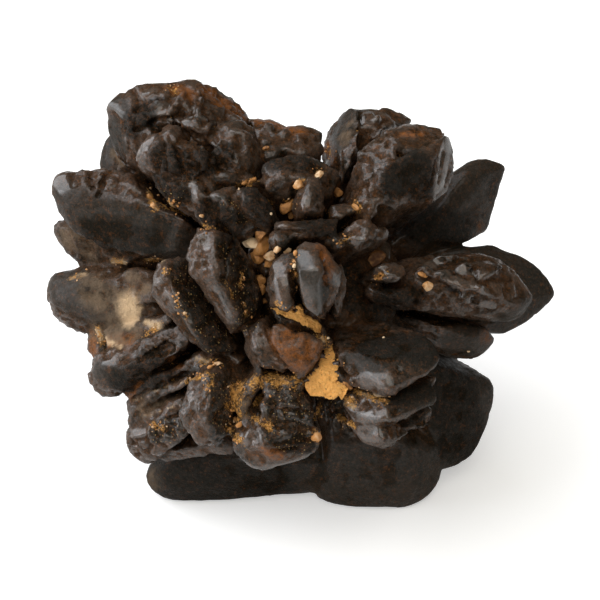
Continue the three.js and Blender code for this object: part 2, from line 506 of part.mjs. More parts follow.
const lowerRight = [
  // top plate
  crystal(0.5, 0, [0, 0, 0], [
    [3.05, -3.9, 9.5], [3.99, -4.18, 9.9], [4.37, -5.03, 10], [4.42, -5.65, 9.95], [6.13, -5.43, 11.15],
    [6.27, -6.6, 11.4], [5.76, -6.7, 11], [4.27, -6.27, 9.9], [2.57, -4.1, 9.2], [2.76, -5.15, 9.2],
    [3.05, -6.01, 9.1], [4.19, -6.66, 9.5], [5.78, -7.29, 10.5], [6.48, -7.18, 10.8],
    [9.31, -5.13, 9.9], [9.8, -4.38, 9.5], [9.52, -4, 9.4], [9.45, -3.34, 9], [8.89, -2.96, 8.6],
    [3.27, -2.88, 7.6], [5.3, -2.31, 7], [8.08, -2.5, 7.4], [9.34, -5.39, 9.2], [9.73, -4.68, 9],
  ]),
  // second plate
  crystal(0.5, 0, [0, 0, 0], [
    [3.15, -7.36, 8.7], [3.82, -7.16, 8.9], [6.08, -7.5, 10], [3.34, -8.41, 8.8], [3.72, -8.21, 9],
    [6.06, -8.05, 10.5], [6.24, -8.79, 10.75], [4.56, -8.99, 9.7], [3.72, -8.78, 9.1],
    [6.54, -8.87, 10.2], [8.68, -7.92, 9.1], [9.46, -7.65, 8.7], [9.66, -7.36, 8.6], [9.48, -6.7, 8.4],
    [8.81, -6.61, 8.4], [6.48, -6.67, 9.2], [9.38, -7.85, 8.4], [3.82, -8.98, 8.8], [6.57, -9.14, 9.4],
  ]),
  // edge between the two
  crystal(0.5, 0, [0, 0, 0], [
    [7.68, -6.72, 8], [8.84, -5.86, 7.8], [9.51, -5.86, 7.8], [9.56, -6.34, 7.8], [9.21, -6.72, 8],
    [8.05, -7.09, 8.2], [6.7, -7.66, 8.4],
  ]),
  // third plate
  crystal(0.5, 0, [0, 0, 0], [
    [3.73, -9.37, 8.7], [4.29, -9.21, 9], [5.6, -9.2, 10.1], [5.73, -10.24, 10.3], [5.13, -10.36, 9.8],
    [4.2, -10.12, 9], [3.54, -9.56, 8.6], [4.01, -10.13, 8.7], [4.58, -10.5, 8.9], [5.82, -10.92, 9.2],
    [6.18, -10.75, 9.6], [6.86, -10.29, 9.3], [7.65, -9.76, 8.6], [7.26, -9.27, 8.7],
    [6.29, -9.05, 9.4], [3.83, -9.1, 8.4],
  ]),
  // fourth plate
  crystal(0.5, 0, [0, 0, 0], [
    [7.29, -9.5, 8], [7.58, -9.11, 8.1], [9.02, -8.2, 8], [9.46, -8.16, 7.8], [9.37, -9.03, 7.7],
    [8.93, -9.46, 7.8], [8.25, -9.69, 8], [7.58, -9.69, 8.1], [6.52, -9.58, 8.2],
  ]),
];

const upperRight = [
  // great crystal, its smooth side
  crystal(0.35, 0, [0, 0, 0], [
    [6.68, 9.54, 9], [7.83, 9.88, 8.9], [9.39, 10.06, 8.3], [9.22, 8.36, 7.8], [9.01, 7.23, 7.2],
    [7.69, 6.63, 7.7], [6.52, 6.42, 8.2], [5.93, 6.89, 8.6], [6.01, 8.2, 9.1], [10.35, 11.51, 6.4],
    [10.83, 10.88, 5.6], [11.15, 9.93, 5.2], [11.16, 9.16, 5], [10.92, 8.28, 5], [10.52, 7.4, 5.2],
    [9.8, 6.84, 5.8], [10.61, 11.39, 5.2],
  ]),
  // its rough strip
  crystal(0.35, 0, [0, 0, 0], [
    [4.24, 9.84, 7], [4.44, 10.52, 6.8], [4.93, 11.12, 6.6], [5.81, 11.61, 6.4], [6.72, 10.95, 7.8],
    [6.97, 9.84, 8.8], [5.17, 9.77, 8.3], [6.1, 8.97, 9.1], [4.33, 8.85, 7.4], [4.7, 7.86, 8.2],
    [5.92, 7.64, 8.9],
  ]),
  // its brown top
  crystal(0.35, 0, [0, 0, 0], [
    [5.73, 11.65, 5.8], [6.42, 12.16, 5.4], [7.21, 12.43, 5], [8.4, 12.31, 4.6], [9.48, 12.27, 4.4],
    [10.07, 12.03, 4.4], [10.43, 11.7, 5], [9.61, 10.58, 7.6], [8.43, 10.35, 8.2], [6.9, 10.45, 8.2],
    [6.36, 11.18, 7.2],
  ]),
  // rough foot of the strip
  crystal(0.4, 0, [0, 0, 0], [
    [4.14, 8.67, 7.2], [3.85, 7.32, 7.2], [4.04, 6.35, 7.6], [4.8, 5.76, 8], [5.46, 5.85, 8.2],
    [5.93, 6.7, 8.5], [6.12, 7.84, 8.6], [4.98, 8.23, 8.4], [4.78, 6.88, 8.7],
  ]),
  // knob under the foot
  crystal(0.4, 0, [0, 0, 0], [
    [3.85, 6.73, 7.6], [4.7, 5.37, 8.2], [5.17, 5.55, 8.4], [5.76, 6.14, 8], [5.36, 6.61, 8.4],
    [4.59, 6.5, 8.6],
  ]),
  // block behind the crystal, left face
  crystal(0.25, 2.4, [0, 0, 0], [
    [1.99, 12.01, 0.6], [2.99, 13.15, 0.8], [3.53, 13.78, 1], [3.83, 13.87, 1.2], [4.15, 13.43, 2.4],
    [4.2, 11.73, 4.4], [4.09, 10.72, 5], [3.3, 8.94, 5.6], [2.93, 10.36, 4.4], [2.37, 11.25, 2.6],
  ]),
  // block behind the crystal, right face
  crystal(0.25, 2.4, [0, 0, 0], [
    [3.68, 13.74, 0.8], [5.57, 13.73, 1], [6.17, 13.94, 0.8], [6.69, 13.87, 0.4], [7.5, 13.45, 0],
    [8.3, 12.95, 0], [4.25, 13.14, 2.3], [5.83, 13.14, 2.4], [5.99, 11.98, 3.6], [4.13, 12.09, 3.4],
  ]),
  // blade behind on the right
  crystal(0.25, 2.2, [0, 0, 0], [
    [12, 9.63, -1.6], [12.51, 10.04, -1.8], [13.23, 10.25, -2], [13.95, 10.31, -2.2],
    [14.79, 10.13, -2.6], [15.37, 9.89, -2.8], [15.37, 9.53, -2.8], [14.81, 8.42, -2.8],
    [14.5, 7.3, -2.8], [14.2, 6.09, -2.8], [14.05, 4.87, -2.8], [12.49, 4.03, -1.4], [11.6, 6.6, 0],
    [12.02, 8.82, -0.4], [13.37, 8.95, -1], [9.96, 5.98, 0.8], [9.98, 4.39, 0.4],
  ]),
];

const rightSide = [
  // knobby crystal
  crystal(0.35, 1.6, [0, 0, 0], [
    [7.99, 2.73, 5], [9.38, 2.93, 4.6], [10.75, 3.03, 4.4], [12.34, 3.04, 4], [13.65, 2.9, 3.6],
    [14.64, 2.56, 3.4], [15.33, 1.97, 3.4], [15.63, 1.38, 3.4], [16.33, 0.59, 3.2], [16.89, 0, 3],
    [16.89, -0.39, 3], [16.43, -1.18, 3.2], [15.94, -1.67, 3.2], [15.25, -1.97, 3.2],
    [14.15, -1.97, 3.4], [10.04, 1.45, 6.9], [12.17, 0.87, 6.8], [13.35, 0.1, 6.4], [15.5, -0.68, 5],
    [13.09, -1.66, 4.6], [11.29, -1.46, 5.2], [8.74, -1.16, 5.8], [8.48, 1.16, 7.2], [13.6, 1.75, 5.6],
  ]),
  // its front knobs
  crystal(0.5, 0, [0, 0, 0], [
    [8.4, 1.64, 6.9], [8.9, 2.22, 6.5], [9.56, 1.83, 6.8], [9.44, 1.35, 7.3], [8.67, 1.35, 7.3],
  ]),
  // its ridge
  crystal(0.5, 0, [0, 0, 0], [
    [9.75, 1.54, 6.8], [10.25, 1.93, 6.6], [11.19, 1.25, 6.9], [11.98, 1.16, 6.7], [12.87, 0.87, 6.4],
    [13.55, 0.19, 6.3], [13.16, -0.19, 6.4], [12.16, 0.19, 6.9], [10.79, 0.77, 7.2], [10.02, 1.06, 7.2],
  ]),
  // its lower facet
  crystal(0.5, 0, [0, 0, 0], [
    [12.7, -0.29, 6], [14.17, -0.29, 5.8], [15.48, -0.68, 5.2], [16.56, -0.2, 4], [16.48, -0.88, 3.8],
    [15.79, -1.57, 3.8], [14.33, -1.36, 5], [13.02, -0.97, 5.6],
  ]),
  // its upper ridge
  crystal(0.5, 0, [0, 0, 0], [
    [12.61, 1.26, 5.9], [13.39, 1.46, 5.8], [14.22, 1.95, 5.2], [14.55, 2.25, 4.6], [13.66, 2.44, 4.8],
    [12.64, 2.14, 5.4], [11.47, 2.33, 5.6], [10.58, 2.43, 5.8], [11.04, 1.94, 6.2],
  ]),
  // nodules at its root
  crystal(0.5, 0, [0, 0, 0], [
    [5, 1.06, 7.4], [5.49, 2.02, 7.3], [6.46, 2.36, 7.1], [7.23, 2.12, 7.1], [7.51, 1.44, 7.4],
    [6.92, 0.86, 7.8], [5.76, 0.86, 7.9], [6.32, 1.53, 8.3],
  ]),
  // dark blade in the hollow
  crystal(0.5, 0, [0, 0, 0], [
    [4.64, 0, 6.4], [5.03, 0.68, 6.4], [7.74, 0.68, 6.4], [8.52, 0, 6.2], [7.95, -0.87, 6],
    [5.24, -0.78, 6], [6.37, -0.19, 7],
  ]),
  // pointed blade behind
  crystal(0.25, 1.6, [0, 0, 0], [
    [14.39, 3.8, -2.6], [15.31, 3.4, -2.8], [16.45, 3.05, -3], [17.26, 2.59, -3], [18.04, 2.03, -3.2],
    [18.71, 1.22, -3.3], [19.28, 0.2, -3.4], [19.33, 0, -3.4], [18.92, -0.61, -3.4],
    [18.19, -1.22, -3.2], [17.26, -1.93, -3], [16.33, -2.33, -2.8], [15.18, -2.94, -2.4],
    [15.74, 2.42, -1.8], [17.81, 0.2, -2.4], [15.52, -1.61, -1.6], [12.06, 3.62, -1],
    [12.04, -2.61, -0.6],
  ]),
  // rounded end under the crystal
  crystal(0.35, 2, [0, 0, 0], [
    [14.39, -3.2, 0.2], [14.25, -3.6, 0], [13.91, -4.05, -0.2], [13.33, -4.51, -0.4],
    [12.32, -4.81, -0.4], [11, -4.7, 0], [13.49, -2.38, 1.6], [11.85, -1.98, 2.4], [12.64, -3.16, 2.4],
    [10.02, -2.16, 3.4], [10.29, -3.96, 2], [12.71, -4.07, 1.4],
  ]),
];

const base = [
  // right rear blade
  crystal(0.25, 2, [0, 0, 0], [
    [12.61, -5.23, -5], [13.23, -6.1, -5], [13.84, -6.25, -5], [14.35, -6.36, -5], [14.66, -6.77, -5],
    [14.76, -7.59, -5], [14.44, -8.91, -4.8], [14.12, -10.03, -4.6], [13.6, -11.25, -4.4],
    [12.87, -12.26, -4.2], [11.73, -12.96, -4], [10.8, -13.25, -3.8], [13.45, -7.34, -3.8],
    [12.8, -10.16, -3.2], [10.47, -5.44, -1.4], [9.85, -10.05, -1], [10.1, -12.53, -2],
  ]),
  // right foot
  crystal(0.3, 2.6, [0, 0, 0], [
    [10.56, -13.5, -3], [10.05, -14.52, -3], [9.23, -15.37, -2.8], [8.11, -15.91, -2.6],
    [6.68, -16.14, -2.4], [5.06, -16.14, -2.4], [3.64, -16.04, -2.4], [2.23, -15.75, -2.6],
    [1.42, -15.31, -2.8], [0.81, -14.82, -3], [8.43, -14.26, -0.8], [8.62, -12.43, -0.4],
    [7.98, -10.97, 0.6], [4.97, -10.54, 1.2], [2.39, -10.94, 1], [2.01, -14.49, -1.2],
    [5.43, -15.18, -1], [7.65, -15.09, -1.2], [10.28, -11.69, -1.6],
  ]),
  // middle foot
  crystal(0.3, 2.6, [0, 0, 0], [
    [0.92, -14.85, -3.4], [0, -14.75, -3.4], [-0.81, -14.8, -3.4], [-1.83, -15.04, -3.2],
    [-3.05, -15.23, -3], [-0.6, -12.44, -0.6], [1.81, -12.65, -0.8], [-3.01, -13.05, -0.8],
    [2.42, -14.14, -2],
  ]),
  // left foot
  crystal(0.3, 2.6, [0, 0, 0], [
    [-11.4, -12.77, -2.6], [-11.71, -13.49, -2.8], [-11.57, -14.21, -3], [-10.96, -14.92, -3],
    [-10.15, -15.33, -3], [-8.63, -15.58, -3], [-7.11, -15.48, -3], [-5.08, -15.33, -3],
    [-3.05, -15.23, -3], [-10.68, -13.29, -1.4], [-9.47, -14.5, -1.4], [-6.03, -14.27, -1],
    [-2.01, -13.68, -1.2], [-2.39, -11.95, 0.8], [-5.98, -12.16, 0.6], [-9.42, -12.22, -0.4],
    [-1.02, -14.82, -3],
  ]),
];

// The far side, spread evenly round with repeatable chance.
const rear = [
  ...bundle(
    1,
    [0, -2, -4],
    [0.4, -6.8, -12],
    [0.5, -8.4, -14.2],
    [0.2, 0.9, 0],
    [7, 6.8, 4.8],
    [5.4, 5, 3.4],
  ),
];
for (let i = 0; i < REAR_BLADES; i++) {
  const back = 0.3 + (0.68 * (i + 0.5)) / REAR_BLADES;
  const turn = i * GOLDEN_ANGLE + 0.25 * wander();
  const out = Math.sqrt(1 - back * back);
  const way = new THREE.Vector3(out * Math.cos(turn), out * Math.sin(turn), -back);
  const reach = mix(...REAR_REACH) * (1 + 0.12 * out * Math.abs(Math.cos(turn)));
  const spin = 0.9 * wander();
  const side = new THREE.Vector3(-Math.sin(turn), Math.cos(turn), 0);
  const face = new THREE.Vector3().crossVectors(way, side).applyAxisAngle(way, spin);
  const wide = mix(3.4, 6.2);
  const thick = wide * mix(0.42, 0.7);
  const at = (share) => way.clone().multiplyScalar(reach * share).toArray();
  rear.push(
    ...bundle(
      i % 3 ? 0 : 1,
      at(0.3),
      at(0.86),
      way.clone().multiplyScalar(reach).addScaledVector(side, 0.12 * wide * wander()).toArray(),
      face.toArray(),
      [wide, wide * 0.95, wide * mix(0.4, 0.62)],
      [thick, thick, thick * 0.6],
    ),
  );
}

const rosette = [
  ...middle,
  ...top,
  ...upperLeft,
  ...leftSide,
  ...lowerLeft,
  ...lowerFront,
  ...lowerRight,
  ...upperRight,
  ...rightSide,
  ...base,
  ...rear,
];

// ---- soil lodged in the clefts ----
// Each is the outline that shows, then the same outline shrunk and pushed in under it.
function soil(outline, pushed) {
  const centre = outline
    .reduce((sum, p) => sum.add(vector(p)), new THREE.Vector3())
    .divideScalar(outline.length);
  const front = outline.map(vector);
  const behind = front.map((p) => p.clone().lerp(centre, 0.35).add(vector(pushed)));
  const crown = centre.clone().addScaledVector(vector(pushed), -0.06);
  return [...front, ...behind, crown];
}

const soils = {
  // wedge between the brown facets and the plates at lower right
  soil_wedge: soil(
    [
      [1.5, -3.5, 8.2],
      [2.3, -4.1, 8.5],
      [2.9, -5.2, 9],
      [3.2, -6.6, 9.4],
      [2.7, -7.6, 9.5],
      [1.2, -7.4, 9.2],
      [0.5, -6.6, 9],
      [0.8, -5.1, 8.8],
    ],
    [-0.4, 0.6, -3],
  ),
  // seam under the twins
  soil_seam: soil(
    [
      [-2.1, -0.8, 9.2],
      [-0.3, -1.1, 9.7],
      [1.2, -2, 9.3],
      [1.2, -2.8, 9.1],
      [0.1, -2, 9.5],
      [-1.6, -1.7, 9.4],
    ],
    [0, 0.7, -2.2],
  ),
  // pocket left of the twins, where the sand has gathered
  soil_pocket: soil(
    [
      [-3.6, 4.7, 7.4],
      [-2.2, 5, 7.2],
      [-1.3, 4, 7.6],
      [-1.6, 2.6, 7.6],
      [-2.8, 1.8, 7.4],
      [-3.8, 3.2, 7.2],
    ],
    [0, -0.2, -1.8],
  ),
};

// The same lump with the clearance added on every side.
function grown(points) {
  const offsets = [-SOIL_GAP, SOIL_GAP];
  return points.flatMap((p) =>
    offsets.flatMap((x) =>
      offsets.flatMap((y) => offsets.map((z) => p.clone().add(new THREE.Vector3(x, y, z)))),
    ),
  );
}

// Small hollows shut in between the blades come out as shells of their own: only the outer one stays.
const outerShell = (solid) =>
  solid.decompose().reduce((most, shell) => (shell.volume() > most.volume() ? shell : most));

// ---- stand the rosette up ----
const whole = rosette.reduce((joined, piece) => joined.add(piece), heart());
const pocketed = Object.values(soils).reduce((left, lump) => left.subtract(hull(grown(lump))), whole);
const leaning = outerShell(pocketed).rotate([90 - LEAN, 0, 0]);

// The lower blades are worn off level, and the stone stands on the three low spots that are left.
function below(height) {
  const block = new THREE.BoxGeometry(BLOCK, BLOCK, BLOCK);
  block.translate(0, 0, height - BLOCK / 2);
  return solidOf(block);
}

const spots = LOW_SPOTS.map(([x, y, radius]) => {
  const spot = new THREE.CylinderGeometry(radius + SPOT_HEIGHT, radius, 2 * SPOT_HEIGHT, SPOT_SIDES);
  spot.rotateX(Math.PI / 2);
  spot.translate(x, y, -REST_DEPTH + SPOT_HEIGHT / 2);
  return solidOf(spot);
});
const beside = spots.reduce((left, spot) => left.subtract(spot), below(-REST_DEPTH + SPOT_HEIGHT));
const away = beside.add(below(-REST_DEPTH));
const worn = outerShell(leaning.subtract(away).simplify(SLIVER));
const box = worn.boundingBox();
const origin = [(box.min[0] + box.max[0]) / 2, (box.min[1] + box.max[1]) / 2, box.min[2]];
const stone = worn.translate(origin.map((x) => -x));

function geometryOf(solid) {
  const mesh = solid.getMesh();
  const geometry = new THREE.BufferGeometry();
  geometry.setAttribute("position", new THREE.BufferAttribute(mesh.vertProperties, 3));
  geometry.setIndex(new THREE.BufferAttribute(mesh.triVerts, 1));
  return geometry;
}

const group = new THREE.Group();

function node(name, solid, color, roughness, metalness) {
  const material = new THREE.MeshStandardMaterial({ color, roughness, metalness });
  const mesh = new THREE.Mesh(geometryOf(solid), material);
  mesh.name = name;
  group.add(mesh);
}

node("blade_cluster", stone, STONE_COLOUR, 0.45, 0.1);
for (const [name, lump] of Object.entries(soils)) {
  const placed = hull(lump)
    .rotate([90 - LEAN, 0, 0])
    .translate(origin.map((x) => -x));
  node(name, placed, SOIL_COLOUR, 0.95, 0);
}

export default group;
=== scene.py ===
"""Prophecy stone: a worn rosette of iron-oxide blades with sandy soil in its clefts.

Laid out as an add-on: sizes and colours are properties, each piece or group of like pieces is an
operator, and main() runs the operators in order. Places on the rosette are given in its own
frame: U to the right, V up the rosette's face, W straight out of the face, in millimetres from
its heart.
"""

import json
import math
import random

import bpy
from bpy.props import FloatProperty, FloatVectorProperty, IntProperty, PointerProperty
from bpy.types import Operator, Panel, PropertyGroup
from mathutils import Matrix, Vector
from mathutils.bvhtree import BVHTree

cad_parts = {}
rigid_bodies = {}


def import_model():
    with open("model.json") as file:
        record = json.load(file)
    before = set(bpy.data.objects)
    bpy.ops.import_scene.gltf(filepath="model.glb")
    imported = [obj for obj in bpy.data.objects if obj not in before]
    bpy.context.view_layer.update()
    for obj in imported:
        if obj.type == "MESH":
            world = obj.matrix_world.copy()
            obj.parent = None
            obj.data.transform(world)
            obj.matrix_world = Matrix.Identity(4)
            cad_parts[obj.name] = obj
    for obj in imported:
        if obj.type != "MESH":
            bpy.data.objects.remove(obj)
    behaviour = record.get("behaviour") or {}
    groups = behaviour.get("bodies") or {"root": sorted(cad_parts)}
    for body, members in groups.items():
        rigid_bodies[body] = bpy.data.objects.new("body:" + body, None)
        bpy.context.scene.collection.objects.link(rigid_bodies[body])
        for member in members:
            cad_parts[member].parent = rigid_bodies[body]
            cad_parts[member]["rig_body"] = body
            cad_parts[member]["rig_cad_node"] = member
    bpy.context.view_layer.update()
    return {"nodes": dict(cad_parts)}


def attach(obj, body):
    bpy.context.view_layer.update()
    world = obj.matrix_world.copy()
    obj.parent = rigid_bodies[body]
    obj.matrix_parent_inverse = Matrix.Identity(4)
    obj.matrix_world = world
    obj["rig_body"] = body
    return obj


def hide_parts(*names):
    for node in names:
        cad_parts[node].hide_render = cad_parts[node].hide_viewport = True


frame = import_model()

bl_info = {
    "name": "Prophecy stone",
    "version": (1, 0, 0),
    "blender": (4, 5, 0),
    "location": "View3D > Sidebar > Prophecy stone",
    "description": "Builds a rosette of iron-oxide blades round its packed frame",
    "category": "Object",
}

# The rosette's frame, as the CAD model has it: the heart's place in mm and the lean in degrees.
LEAN = math.radians(35)
HEART = Vector((-0.22, 0.385, 14.65))
MM = 1000.0  # pieces are shaped at a thousand times their size, where one unit is a millimetre
EYE_OUT = 197.3  # from the heart to the camera, mm
AIM = (-0.07, -0.37)  # where the camera looks, mm from the heart along U and V
FINE_STEP = 0.1  # between the points that mark a crack or a lump of soil, mm
COARSE_STEP = 0.15  # between the points that mark a patch of the surface, mm


def spot(u, v, w):
    """The place U, V, W of the rosette, in mm in the row frame."""
    return HEART + turned(Vector((u, v, w)))


def turned(way):
    """A direction of the rosette's frame, in the row frame."""
    up, out = way.y, way.z
    return Vector(
        (
            way.x,
            up * math.sin(LEAN) - out * math.cos(LEAN),
            up * math.cos(LEAN) + out * math.sin(LEAN),
        )
    )


OUTWARD = turned(Vector((0, 0, 1)))


# ---------------------------------------------------------------- settings


class StoneSettings(PropertyGroup):
    """The iron stone's surface."""

    grain: FloatProperty(
        name="Working grain",
        description="Size of the smallest cell that the stone is carved with, mm",
        default=0.12,
        min=0.1,
        max=0.4,
    )
    wear: IntProperty(
        name="Wear",
        description="Rounds of rubbing that take the sharp edges off the blades",
        default=2,
        min=0,
        max=40,
    )
    far_wear: IntProperty(
        name="Far wear",
        description="Further rounds of rubbing on the blades that point away from the open face",
        default=8,
        min=0,
        max=40,
    )
    faces: IntProperty(
        name="Faces",
        description="Number of triangles that the finished stone is thinned to",
        default=194000,
        min=20000,
        max=199000,
    )
    knob_height: FloatProperty(
        name="Knob height",
        description="Height of the knobs on the blades' narrow sides, mm",
        default=0.3,
        min=0,
        max=1,
    )
    lump_height: FloatProperty(
        name="Lump height",
        description="Height of the coarse lumps on the thickest blades, mm",
        default=0.42,
        min=0,
        max=1,
    )
    dark: FloatVectorProperty(
        name="Dark oxide",
        description="Colour of the dark broad faces",
        subtype="COLOR",
        size=3,
        default=(0.0108, 0.0092, 0.005),
        min=0,
        max=1,
    )
    brown: FloatVectorProperty(
        name="Brown oxide",
        description="Colour of the worn narrow sides",
        subtype="COLOR",
        size=3,
        default=(0.082, 0.043, 0.023),
        min=0,
        max=1,
    )
    rust: FloatVectorProperty(
        name="Rust",
        description="Colour of the rusty patches",
        subtype="COLOR",
        size=3,
        default=(0.27, 0.092, 0.022),
        min=0,
        max=1,
    )
    # Painted highlight: this grey is mixed into the base colour on the proud ridges and the
    # polished end facets, where the light shines off them.
    grey: FloatVectorProperty(
        name="Polished grey",
        description="Colour of the smooth end facets",
        subtype="COLOR",
        size=3,
        default=(0.16, 0.155, 0.15),
        min=0,
        max=1,
    )
    sand: FloatVectorProperty(
        name="Sand",
        description="Colour of the pale sand caked on the stone",
        subtype="COLOR",
        size=3,
        default=(0.78, 0.55, 0.33),
        min=0,
        max=1,
    )
    dust: FloatVectorProperty(
        name="Dust",
        description="Colour of the pale dust on the left side",
        subtype="COLOR",
        size=3,
        default=(0.21, 0.15, 0.1),
        min=0,
        max=1,
    )


class SoilSettings(PropertyGroup):
    """The soil lodged between the blades."""

    colour: FloatVectorProperty(
        name="Soil",
        description="Colour of the dry sandy soil",
        subtype="COLOR",
        size=3,
        default=(0.95, 0.47, 0.125),
        min=0,
        max=1,
    )
    strewn: IntProperty(
        name="Strewn grains",
        description="Number of small sand grains along the smears of soil",
        default=320,
        min=0,
        max=1000,
    )
    swell: FloatProperty(
        name="Swell",
        description="How far the soil reaches past its packed shape to touch the stone, mm",
        default=0.42,
        min=0,
        max=1,
    )


class StageSettings(PropertyGroup):
    """Floor, light and camera."""

    floor_side: FloatProperty(
        name="Floor side",
        description="Side of the square floor",
        unit="LENGTH",
        default=3.0,
        min=0.2,
    )
    lens: FloatProperty(
        name="Lens",
        description="Focal length of the camera, mm",
        default=160,
        min=20,
        max=400,
    )
    key_power: FloatProperty(
        name="Window light",
        description="Power of the large soft light on the left, W",
        default=20.0,
        min=0,
    )
    fill_power: FloatProperty(
        name="Fill light",
        description="Power of the softer light above the front, W",
        default=5.4,
        min=0,
    )
    low_power: FloatProperty(
        name="Low light",
        description="Power of the small light low on the left, W",
        default=2.4,
        min=0,
    )
    sky: FloatProperty(
        name="Room light",
        description="Strength of the even light of the room",
        default=0.095,
        min=0,
    )
    sky_tint: FloatVectorProperty(
        name="Room light colour",
        description="Colour of the even light of the room",
        subtype="COLOR",
        size=3,
        default=(1.0, 0.88, 0.62),
        min=0,
        max=1,
    )
    floor_glow: FloatProperty(
        name="Floor glow",
        description="How much brighter the floor looks than the light it throws on the stone",
        default=0.42,
        min=0,
    )
    backdrop: FloatProperty(
        name="Backdrop",
        description="Brightness of the plain backdrop behind the floor",
        default=0.9,
        min=0,
    )


# ---------------------------------------------------------------- node helpers


class Nodes:
    """Short names for making and linking the nodes of one node tree."""

    def __init__(self, tree):
        self.tree = tree

    def add(self, kind, inputs=None, **settings):
        node = self.tree.nodes.new(kind)
        for name, value in settings.items():
            setattr(node, name, value)
        for key, value in (inputs or {}).items():
            self.put(node.inputs[key], value)
        return node

    def put(self, socket, value):
        if isinstance(value, bpy.types.NodeSocket):
            self.tree.links.new(value, socket)
        else:
            socket.default_value = value

    def sum(self, operation, *values, clamp=False):
        inputs = dict(enumerate(values))
        return self.add("ShaderNodeMath", inputs, operation=operation, use_clamp=clamp).outputs[0]

    def times(self, *values):
        made = values[0]
        for value in values[1:]:
            made = self.sum("MULTIPLY", made, value)
        return made

    def plus(self, *values):
        made = values[0]
        for value in values[1:]:
            made = self.sum("ADD", made, value)
        return made

    def less(self, a, b):
        return self.sum("SUBTRACT", a, b)

    def inverse(self, a):
        return self.sum("SUBTRACT", 1.0, a)

    def most(self, a, b):
        return self.sum("MAXIMUM", a, b)

    def vector(self, operation, *values, scale=None):
        inputs = dict(enumerate(values))
        if scale is not None:
            inputs["Scale"] = scale
        node = self.add("ShaderNodeVectorMath", inputs, operation=operation)
        single = operation in ("DOT_PRODUCT", "LENGTH", "DISTANCE")
        return node.outputs["Value" if single else "Vector"]

    def between(self, value, low, high, to_low=0.0, to_high=1.0, smooth=True):
        inputs = {
            "Value": value,
            "From Min": low,
            "From Max": high,
            "To Min": to_low,
            "To Max": to_high,
        }
        kind = "SMOOTHSTEP" if smooth else "LINEAR"
        return self.add("ShaderNodeMapRange", inputs, interpolation_type=kind).outputs[0]

    def noise(self, place, scale, detail=2.0, rough=0.5):
        inputs = {"Vector": place, "Scale": scale, "Detail": detail, "Roughness": rough}
        return self.add("ShaderNodeTexNoise", inputs).outputs["Fac"]

    def noise_vector(self, place, scale, detail=2.0):
        inputs = {"Vector": place, "Scale": scale, "Detail": detail}
        colour = self.add("ShaderNodeTexNoise", inputs).outputs["Color"]
        return self.vector("SUBTRACT", colour, (0.5, 0.5, 0.5))

    def stray(self, place, scale, reach, detail=2.0):
        """A place that wanders off, by up to about half of reach."""
        wander = self.vector("SCALE", self.noise_vector(place, scale, detail), scale=reach)
        return self.vector("ADD", place, wander)

    def cells(self, place, scale, feature="F1"):
        inputs = {"Vector": place, "Scale": scale, "Randomness": 1.0}
        return self.add("ShaderNodeTexVoronoi", inputs, feature=feature)


class Carving(Nodes):
    """A geometry-node group that is built, put on an object as a modifier and applied."""

    def __init__(self, name):
        tree = bpy.data.node_groups.new(name, "GeometryNodeTree")
        super().__init__(tree)
        tree.interface.new_socket("Stone", in_out="INPUT", socket_type="NodeSocketGeometry")
        tree.interface.new_socket("Stone", in_out="OUTPUT", socket_type="NodeSocketGeometry")
        self.geometry = self.add("NodeGroupInput").outputs[0]
        self.place = self.add("GeometryNodeInputPosition").outputs[0]
        self.facing = self.add("GeometryNodeInputNormal").outputs[0]

    def mask(self, name):
        return self.add("GeometryNodeInputNamedAttribute", {"Name": name}).outputs[0]

    def away(self):
        """From the heart to each point."""
        return self.vector("SUBTRACT", self.place, tuple(HEART))

    def outward(self):
        return self.vector("NORMALIZE", self.away())

    def keep(self, name, value):
        inputs = {"Geometry": self.geometry, "Name": name, "Value": value}
        node = self.add("GeometryNodeStoreNamedAttribute", inputs, domain="POINT")
        self.geometry = node.outputs[0]

    def push(self, height):
        """Moves the surface out along its own normal by a field, in mm."""
        offset = self.vector("SCALE", self.facing, scale=height)
        self.shift(Offset=offset)

    def shift(self, **inputs):
        inputs["Geometry"] = self.geometry
        self.geometry = self.add("GeometryNodeSetPosition", inputs).outputs[0]

    def blurred(self, value, rounds, kind="FLOAT", weight=1.0):
        inputs = {"Value": value, "Iterations": rounds, "Weight": weight}
        return self.add("GeometryNodeBlurAttribute", inputs, data_type=kind).outputs[0]

    def shape_of(self, other):
        return self.add("GeometryNodeObjectInfo", {"Object": other}).outputs["Geometry"]

    def reach(self, target, start, way, limit):
        """How far a ray goes from start before it meets the target, at most limit."""
        inputs = {
            "Target Geometry": target,
            "Source Position": start,
            "Ray Direction": way,
            "Ray Length": limit,
        }
        ray = self.add("GeometryNodeRaycast", inputs)
        met, far = ray.outputs["Is Hit"], ray.outputs["Hit Distance"]
        inputs = {"Switch": met, "False": limit, "True": far}
        return self.add("GeometryNodeSwitch", inputs, input_type="FLOAT").outputs[0]

    def near(self, marks, place):
        """How deep a place lies inside the nearest of the marks: 1 on it, 0 from its edge on."""
        target = self.shape_of(marks)
        inputs = {"Geometry": target, "Sample Position": place}
        index = self.add("GeometryNodeSampleNearest", inputs, domain="POINT").outputs[0]

        def of_mark(value, kind):
            inputs = {"Geometry": target, "Value": value, "Index": index}
            return self.add("GeometryNodeSampleIndex", inputs, data_type=kind).outputs[0]

        away = self.vector("DISTANCE", place, of_mark(self.place, "FLOAT_VECTOR"))
        width = of_mark(self.mask("breadth"), "FLOAT")
        return self.sum("SUBTRACT", 1.0, self.sum("DIVIDE", away, width), clamp=True)

    def apply(self, piece):
        exit_node = self.add("NodeGroupOutput")
        self.tree.links.new(self.geometry, exit_node.inputs[0])
        modifier = piece.modifiers.new(self.tree.name, "NODES")
        modifier.node_group = self.tree
        apply_modifier(piece, modifier)


# ---------------------------------------------------------------- mesh helpers


def pick(piece):
    """Makes piece the only selected object and the active one."""
    bpy.ops.object.select_all(action="DESELECT")
    piece.hide_set(False)
    piece.select_set(True)
    bpy.context.view_layer.objects.active = piece


